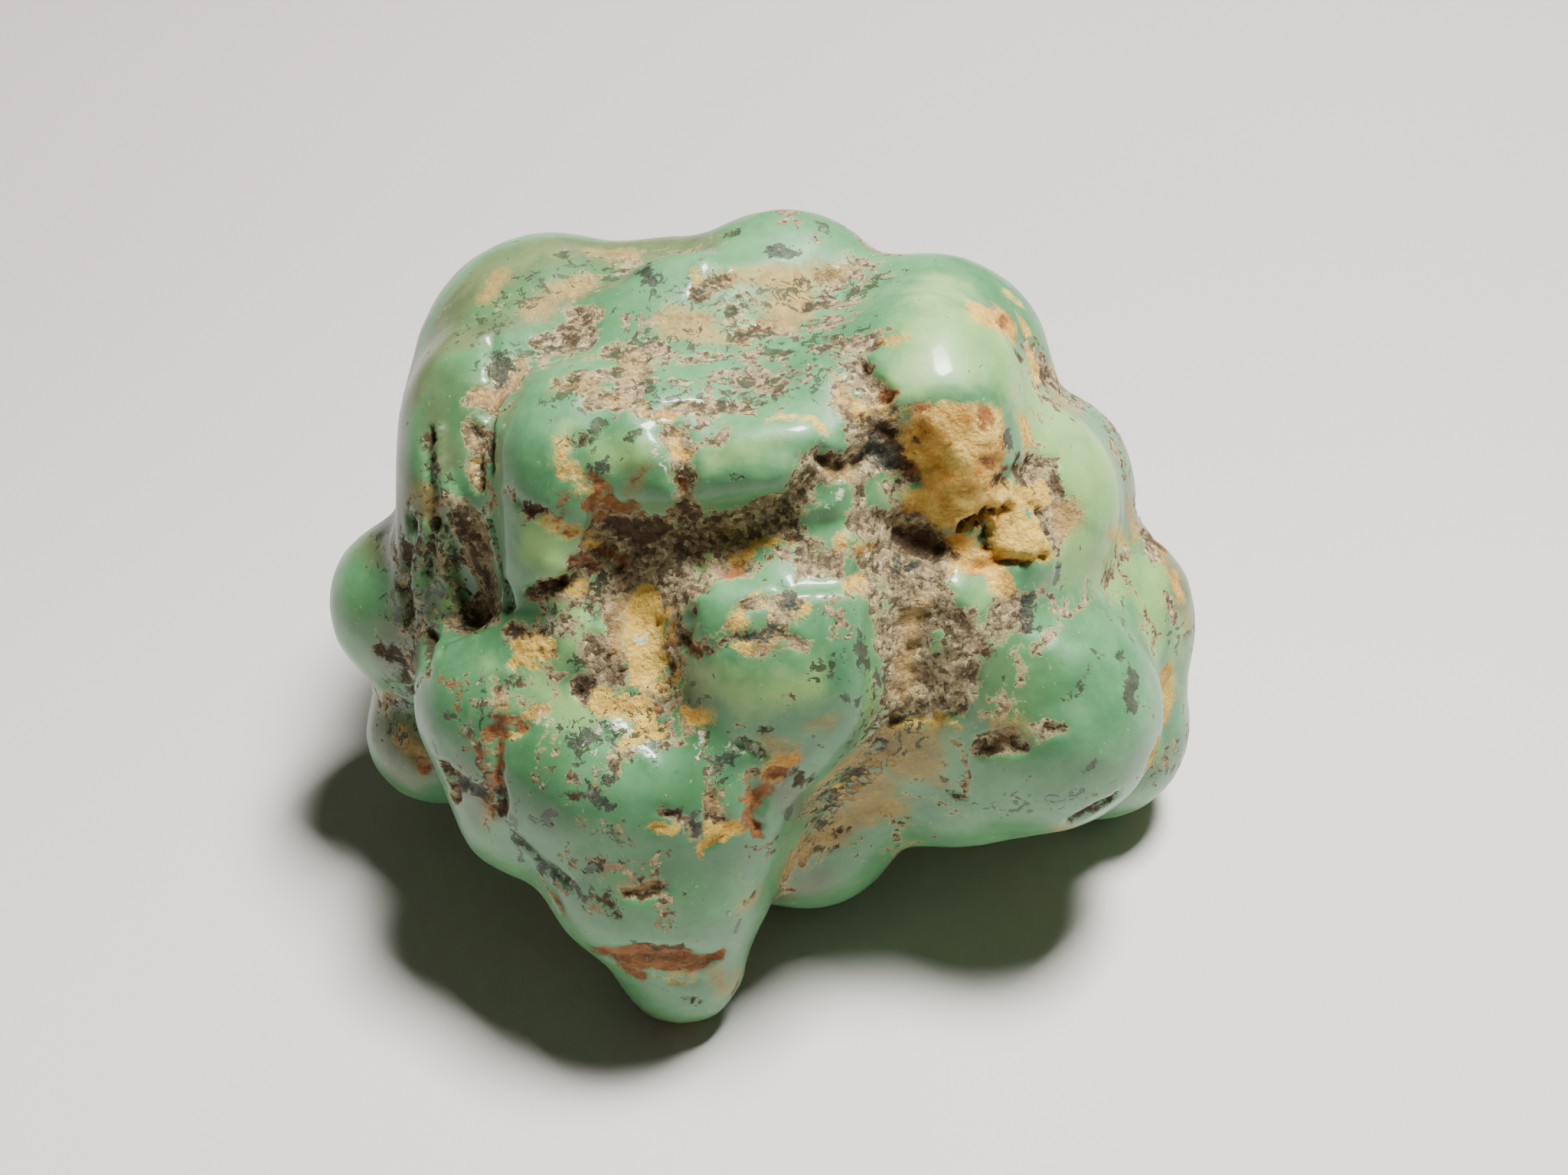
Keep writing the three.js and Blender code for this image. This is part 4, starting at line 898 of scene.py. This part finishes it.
class Skin:
    """The stone's surface as arrays, in millimetres, with a way to find chart places and distances on it.

    FACING and SLOPE are the chart's directions, and FAR is a height well clear of the stone. LEAST is the
    value of a mark far from its bands. A point is on a hidden side where its normal runs less than HIDDEN of
    its length towards the viewer. TURN is how sharply a walk over those sides bends.
    """

    FACING = Vector((0, -math.sqrt(0.5), math.sqrt(0.5)))
    SLOPE = Vector((0, math.sqrt(0.5), math.sqrt(0.5)))
    FAR = 80.0
    LEAST = -1.5
    HIDDEN = 0.02
    TURN = 0.35

    def __init__(self, mesh: bpy.types.Mesh, middle: Vector) -> None:
        """Reads a mesh whose coordinates are millimetres.

        Args:
            mesh: the closed mesh.
            middle: the chart's zero, the middle of the stone.
        """
        self.middle = middle
        count = len(mesh.vertices)
        flat = np.empty(count * 3)
        mesh.vertices.foreach_get("co", flat)
        self.points = flat.reshape(-1, 3).copy()
        mesh.vertices.foreach_get("normal", flat)
        self.normals = flat.reshape(-1, 3).copy()
        self.tree = BVHTree.FromPolygons([v.co for v in mesh.vertices], [p.vertices for p in mesh.polygons])
        ends = np.empty(len(mesh.edges) * 2, dtype=np.int32)
        mesh.edges.foreach_get("vertices", ends)
        ends = ends.reshape(-1, 2)
        self.links = np.concatenate((ends, ends[:, ::-1]))

    def hollow(self, rounds: int = 42) -> np.ndarray:
        """Measures how far each point lies under its smoothed surroundings.

        Args:
            rounds: how many times the surroundings are smoothed.

        Returns:
            The depth of each point in millimetres, negative on a hump.
        """
        start, end = self.links.T
        count = np.bincount(start, minlength=len(self.points))
        wide = self.points
        for _ in range(rounds):
            wide = np.stack([np.bincount(start, axis[end], len(count)) / count for axis in wide.T], axis=1)
        return ((wide - self.points) * self.normals).sum(axis=1)

    def filled(self, share: np.ndarray, rounds: int = 120) -> np.ndarray:
        """Lets hollows fill up where they are marked.

        Args:
            share: how strongly each point is drawn to the middle of its neighbours, from 0 to 1.
            rounds: how many times it is drawn.

        Returns:
            The points after it.
        """
        start, end = self.links[share[self.links[:, 0]] > 0].T
        count = np.maximum(np.bincount(start, minlength=len(self.points)), 1)
        points = self.points.copy()
        for _ in range(rounds):
            sums = [np.bincount(start, axis[end], len(count)) for axis in points.T]
            middle = np.stack(sums, axis=1) / count[:, None]
            points += (middle - points) * share[:, None]
        return points

    def drop(self, place: Place) -> np.ndarray:
        """Finds where a chart place meets the skin.

        Args:
            place: a place on the front chart.

        Returns:
            The point on the skin, or the nearest one to the chart's plane where the place is off the stone.
        """
        level = self.middle + Vector((place[0], 0, 0)) + self.SLOPE * place[1]
        hit = self.tree.ray_cast(level + self.FACING * self.FAR, -self.FACING)[0]
        if hit is None:
            hit = self.tree.find_nearest(level)[0]
        return np.array(hit)

    def line(self, places: Sequence[Place]) -> Line:
        """Drops a row of chart places onto the skin."""
        return [self.drop(place) for place in places]

    def wander(self, dice: random.Random, steps: int, stride: float) -> Line:
        """Walks over the sides that the chart doesn't show.

        Args:
            dice: the source of chance.
            steps: how many times it moves on.
            stride: how far each time.

        Returns:
            The points that it passes.
        """

        def push(spread: float) -> Vector:
            """Draws a random vector."""
            return Vector([dice.gauss(0, spread) for _ in range(3)])

        index = dice.randrange(len(self.points))
        while Vector(self.normals[index]).dot(self.FACING) >= self.HIDDEN:
            index = dice.randrange(len(self.points))
        spot = Vector(self.points[index])
        heading = push(1).normalized()
        line = [np.array(spot)]
        for _ in range(steps):
            heading = heading + push(self.TURN)
            normal = self.tree.find_nearest(spot)[1]
            heading = (heading - normal * heading.dot(normal)).normalized()
            spot = self.tree.find_nearest(spot + heading * stride)[0]
            line.append(np.array(spot))
        return line

    @staticmethod
    def gap(line: Line, points: np.ndarray) -> np.ndarray:
        """Measures how far points are from a line.

        Args:
            line: the points that the line joins.
            points: rows of x, y, z.

        Returns:
            The distance of each point from the line.
        """
        nearest = np.linalg.norm(points - line[0], axis=1)
        for start, end in zip(line, line[1:]):
            run = end - start
            share = np.clip((points - start) @ run / max(run @ run, 1e-9), 0, 1)
            nearest = np.minimum(nearest, np.linalg.norm(points - start - share[:, None] * run, axis=1))
        return nearest


@dataclass(frozen=True)
class Scatter:
    """What the sides away from the viewer get of one mark."""

    mark: Mark
    count: int
    half_width: Tuple[float, float]
    steps: Tuple[int, int]
    stride: float


def smooth(share: np.ndarray) -> np.ndarray:
    """Rounds the start and the end of a rise from 0 to 1."""
    return share * share * (3 - 2 * share)


@dataclass(frozen=True)
class Crack:
    """What the cracks of the sides away from the viewer are like."""

    count: int = 14
    steps: Tuple[int, int] = (2, 5)
    stride: float = 1.2
    half_width: Tuple[float, float] = (0.35, 0.8)
    depth: Tuple[float, float] = (0.2, 0.5)


@dataclass(frozen=True)
class Rough:
    """A roughness: the size of its largest lumps, how they fade, and the step and count of its layers."""

    size: float
    fade: float
    step: float
    layers: int

    def at(self, points: np.ndarray) -> np.ndarray:
        """Its height at each point, of about -1 to 1."""
        layout = (self.fade, self.step, self.layers)
        return np.array([noise.fractal(Vector(point) / self.size, *layout) for point in points])


@dataclass
class Nugget:
    """The turquoise nugget: a fine skin over the frame's solid.

    A wave has a length and a height. A lift is how far the skin stands proud inside a mark, which is in full
    from mark_width inside a line that runs mark_start outside the mark's edge.
    """

    voxel: float = 0.256
    seed: int = 41
    rounding: int = 2
    weld: float = 0.001
    waves: Tuple[Tuple[float, float], ...] = ((1.4, 0.4), (0.55, 0.22))
    relief_wave: float = 0.7
    fill_edge: float = 1.6
    fill_start: float = 0.3
    fill_gain: float = 3.0
    mark_start: float = 0.15
    mark_width: float = 0.45
    crack: Crack = Crack()
    lifts: Tuple[Tuple[Mark, float], ...] = (
        (Mark.RUST, -0.12), (Mark.BROWN, -0.1), (Mark.SPECK, -0.05), (Mark.WHITE, 0.05),
    )
    cream_gravel: float = 0.6
    gravel_lift: float = -0.12
    gravel_grit: float = 0.2
    crust_grit: float = 0.1
    lumpiness: float = 0.05
    grit: Rough = Rough(0.65, 0.7, 2.2, 3)
    lumps: Rough = Rough(2.4, 0.9, 2.1, 2)
    finish: StoneFinish = StoneFinish()
    scatter: Tuple[Scatter, ...] = (
        Scatter(Mark.OLIVE_AND_SHADED, 12, (1.0, 2.6), (1, 3), 3.0),
        Scatter(Mark.MATRIX, 42, (0.15, 0.6), (1, 5), 1.2),
        Scatter(Mark.MATRIX, 7, (0.8, 1.5), (0, 2), 1.4),
        Scatter(Mark.ISLAND, 40, (0.2, 0.6), (0, 1), 0.6),
        Scatter(Mark.CRUMB, 60, (0.8, 2.0), (1, 4), 1.7),
        Scatter(Mark.PINK, 9, (0.4, 1.2), (0, 3), 1.3),
        Scatter(Mark.CREAM, 6, (0.15, 0.45), (1, 3), 0.9),
        Scatter(Mark.OCHRE, 8, (0.15, 0.5), (0, 3), 1.0),
        Scatter(Mark.RUST, 16, (0.12, 0.4), (1, 4), 0.8),
        Scatter(Mark.BROWN, 30, (0.12, 0.45), (1, 4), 0.9),
        Scatter(Mark.SLATE, 20, (0.15, 0.45), (0, 2), 0.8),
        Scatter(Mark.SPECK, 190, (0.1, 0.26), (0, 2), 0.35),
        Scatter(Mark.SPRAY, 40, (0.8, 1.6), (1, 4), 1.8),
        Scatter(Mark.PALE_AND_LIT, 8, (0.6, 1.6), (1, 3), 2.0),
        Scatter(Mark.DEEP_AND_SHADED, 10, (0.8, 1.5), (0, 2), 1.5),
    )

    def build(self) -> bpy.types.Object:
        """Makes the stone's skin, its relief and its marks.

        Returns:
            The finished piece, riding on the frame.
        """
        noise.seed_set(self.seed)
        low, high = (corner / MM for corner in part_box(NODE))
        piece = self._remeshed()
        middle = (low + high) / 2
        self._fill(piece.data, Skin(piece.data, middle))
        skin = Skin(piece.data, middle)
        dice = random.Random(self.seed)
        marks = self._marks(skin, dice)
        points = skin.points + skin.normals * self._heights(skin, marks, dice)[:, None]
        points = np.clip(points, np.array(low), np.array(high))
        piece.data.vertices.foreach_set("co", (points * MM).ravel())
        fields = {mark.value: values for mark, values in marks.items()}
        fields[HOLLOW] = skin.hollow()
        for name, values in fields.items():
            piece.data.attributes.new(name, "FLOAT", "POINT").data.foreach_set("value", values)
        piece.data.shade_smooth()
        piece.data.update()
        self.finish.dress(piece)
        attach(piece, "root")
        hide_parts(NODE)
        return piece

    def _remeshed(self) -> bpy.types.Object:
        """Copies the frame's solid, rounds its facets off and covers it with small even faces.

        Returns:
            The new object, still in millimetres.
        """
        form = bmesh.new()
        form.from_mesh(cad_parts[NODE].data)
        form.transform(Matrix.Scale(1 / MM, 4))
        bmesh.ops.remove_doubles(form, verts=form.verts, dist=self.weld)
        bmesh.ops.join_triangles(form, faces=form.faces, angle_face_threshold=1.0, angle_shape_threshold=1.2)
        mesh = bpy.data.meshes.new("nugget_skin")
        form.to_mesh(mesh)
        form.free()
        piece = bpy.data.objects.new("nugget_skin", mesh)
        bpy.context.scene.collection.objects.link(piece)
        rounding = piece.modifiers.new("rounding", "SUBSURF")
        rounding.levels = self.rounding
        cover = piece.modifiers.new("cover", "REMESH")
        cover.mode = "VOXEL"
        cover.voxel_size = self.voxel
        graph = bpy.context.evaluated_depsgraph_get()
        fine = bpy.data.meshes.new_from_object(piece.evaluated_get(graph))
        piece.modifiers.clear()
        piece.data = fine
        return piece

    def _fill(self, mesh: bpy.types.Mesh, skin: Skin) -> None:
        """Makes the deepest hollows shallower.

        Args:
            mesh: the stone's mesh, which it changes.
            skin: the surface read from that mesh.
        """
        share = np.zeros(len(skin.points))
        for fill in FILLS:
            gap = skin.gap(skin.line(fill.band.places), skin.points)
            near = np.clip(self.fill_edge - self.fill_edge * gap / fill.band.half_width, 0, 1)
            share = np.maximum(share, near * fill.share)
        share *= np.clip(skin.hollow() * self.fill_gain + self.fill_start, 0, 1)
        mesh.vertices.foreach_set("co", skin.filled(share).ravel())
        mesh.update()

    def _marks(self, skin: Skin, dice: random.Random) -> Dict[Mark, np.ndarray]:
        """Works out every mark's field: positive inside, negative outside, in millimetres from its edge.

        Args:
            skin: the stone's surface.
            dice: the source of chance for the hidden sides.

        Returns:
            A number for each point of the skin, for each mark.
        """
        wavy = skin.points + self._wave(skin.points)
        marks = {mark: np.full(len(skin.points), Skin.LEAST) for mark in Mark}

        def leave(mark: Mark, half_width: float, line: Line) -> None:
            """Adds one band to a mark's field."""
            marks[mark] = np.maximum(marks[mark], half_width - Skin.gap(line, wavy))

        for mark, bands in STROKES.items():
            for band in bands:
                leave(mark, band.half_width, skin.line(band.places))
        for kind in self.scatter:
            for _ in range(kind.count):
                line = skin.wander(dice, dice.randint(*kind.steps), kind.stride)
                leave(kind.mark, dice.uniform(*kind.half_width), line)
        marks[Mark.MATRIX] = np.minimum(marks[Mark.MATRIX], -marks[Mark.ISLAND])
        return marks

    def _wave(self, points: np.ndarray) -> np.ndarray:
        """Bends places a little, so that no edge is drawn with a ruler.

        Args:
            points: rows of x, y, z.

        Returns:
            How far each point is moved.
        """
        bends = []
        for point in points:
            place = Vector(point)
            bend = Vector()
            for length, height in self.waves:
                bend += noise.noise_vector(place / length) * height
            bends.append(bend)
        return np.array(bends)

    def _heights(self, skin: Skin, marks: Dict[Mark, np.ndarray], dice: random.Random) -> np.ndarray:
        """Works out how far each point of the skin moves along its normal.

        Args:
            skin: the stone's surface.
            marks: the marks' fields.
            dice: the source of chance for the hidden sides.

        Returns:
            The move of each point in millimetres.
        """

        def inside(mark: Mark) -> np.ndarray:
            """The share of a mark at each point, from 0 to 1."""
            return np.clip((marks[mark] + self.mark_start) / self.mark_width, 0, 1)

        def near(line: Line, half_width: float) -> np.ndarray:
            """How close each point is to a line, from 0 at the half width to 1 on it."""
            return np.clip(1 - skin.gap(line, wavy) / half_width, 0, 1)

        wavy = skin.points + self._wave(skin.points) * self.relief_wave
        heights = np.zeros(len(skin.points))
        for relief in RELIEFS:
            share = near(skin.line(relief.band.places), relief.band.half_width)
            heights += relief.height * (share if relief.sharp else smooth(share))
        for _ in range(self.crack.count):
            line = skin.wander(dice, dice.randint(*self.crack.steps), self.crack.stride)
            share = near(line, dice.uniform(*self.crack.half_width))
            heights -= dice.uniform(*self.crack.depth) * smooth(share)
        gravel = np.maximum(inside(Mark.MATRIX), inside(Mark.CREAM) * self.cream_gravel)
        crust = np.maximum(np.maximum(inside(Mark.OCHRE), inside(Mark.RUST)), inside(Mark.CREAM))
        grit = self.grit.at(skin.points)
        heights += gravel * (self.gravel_lift + self.gravel_grit * grit) + crust * self.crust_grit * grit
        for mark, lift in self.lifts:
            heights += lift * inside(mark)
        return heights + self.lumps.at(skin.points) * self.lumpiness


# ---------------------------------------------------------------- the studio


@dataclass(frozen=True)
class Lamp:
    """A square soft light."""

    name: str
    place: Tuple[float, float, float]
    width: float
    power: float
    colour: Colour


@dataclass
class Studio:
    """A pale floor, one soft light, a faint even sky and the camera."""

    lens: float = 45.0
    distance: float = 95.0
    elevation: float = 45.0
    aim: Tuple[float, float, float] = (0.86, -1.47, 16.17)
    nearest: float = 5.0
    floor_width: float = 1200.0
    # the paper's tone runs from painted shade at the back to a lighter front
    paper_lit_and_shaded: Tone = Tone((200, 195, 192), (228, 227, 224), 0.75)
    painted_falloff: Tuple[float, float] = (60.0, -50.0)
    lamps: Tuple[Lamp, ...] = (
        Lamp("key", (64, 60, 262), 70, 2.18, (1.0, 0.985, 0.96)),
    )
    sky: Colour = (1.0, 0.86, 0.7)
    sky_strength: float = 0.06

    def build(self) -> None:
        """Makes everything in the studio."""
        self._floor()
        for lamp in self.lamps:
            self._light(lamp)
        self._sky()
        self._camera()

    def _floor(self) -> None:
        """Makes the floor, a pale sheet with the stone's feet on it and painted shade that darkens it
        towards the back.
        """
        form = bmesh.new()
        bmesh.ops.create_grid(form, x_segments=1, y_segments=1, size=self.floor_width / 2 * MM)
        mesh = bpy.data.meshes.new("floor")
        form.to_mesh(mesh)
        form.free()
        floor = bpy.data.objects.new("floor", mesh)
        bpy.context.scene.collection.objects.link(floor)
        s = Shader("floor_paper_painted_falloff")
        along = Value(s, s.node("ShaderNodeSeparateXYZ", {}, {0: s.place}).outputs[1])
        back, front = self.painted_falloff
        # painted shade: the paper darkens towards the back
        near = (along + s.grain(60.0, 2.0) * 0.02).rise(back * MM, front * MM)
        tone = s.blend(near, linear(*self.paper_lit_and_shaded.dark), linear(*self.paper_lit_and_shaded.light))
        mesh.materials.append(s.finish({"Base Color": tone, "Roughness": self.paper_lit_and_shaded.roughness}))

    def _light(self, lamp: Lamp) -> None:
        """Makes one light that faces the stone.

        Args:
            lamp: its place, width, power and colour.
        """
        data = bpy.data.lights.new(lamp.name, "AREA")
        data.size = lamp.width * MM
        data.energy = lamp.power
        data.color = lamp.colour
        light = bpy.data.objects.new(lamp.name, data)
        light.location = Vector(lamp.place) * MM
        light.rotation_euler = (Vector(self.aim) - Vector(lamp.place)).to_track_quat("-Z", "Y").to_euler()
        bpy.context.scene.collection.objects.link(light)

    def _sky(self) -> None:
        """Makes the even light of a pale room."""
        world = bpy.data.worlds.new("room")
        world.use_nodes = True
        background = world.node_tree.nodes["Background"]
        background.inputs["Color"].default_value = (*self.sky, 1)
        background.inputs["Strength"].default_value = self.sky_strength
        bpy.context.scene.world = world

    def _camera(self) -> None:
        """Makes the camera, looking down on the stone's front."""
        data = bpy.data.cameras.new("camera")
        data.lens = self.lens
        data.clip_start = self.nearest * MM
        camera = bpy.data.objects.new("camera", data)
        slope = math.radians(self.elevation)
        aim = Vector(self.aim)
        place = aim + Vector((0, -math.cos(slope), math.sin(slope))) * self.distance
        camera.location = place * MM
        camera.rotation_euler = (aim - place).to_track_quat("-Z", "Y").to_euler()
        bpy.context.scene.collection.objects.link(camera)
        bpy.context.scene.camera = camera


def main() -> None:
    """Builds the stone and the studio, and notes how many points and faces the stone has."""
    logging.basicConfig(level=logging.INFO, format="%(message)s")
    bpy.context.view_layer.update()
    piece = Nugget().build()
    log.info("%s: %d points, %d faces", piece.name, len(piece.data.vertices), len(piece.data.polygons))
    Studio().build()


if __name__ == "__main__":
    main()
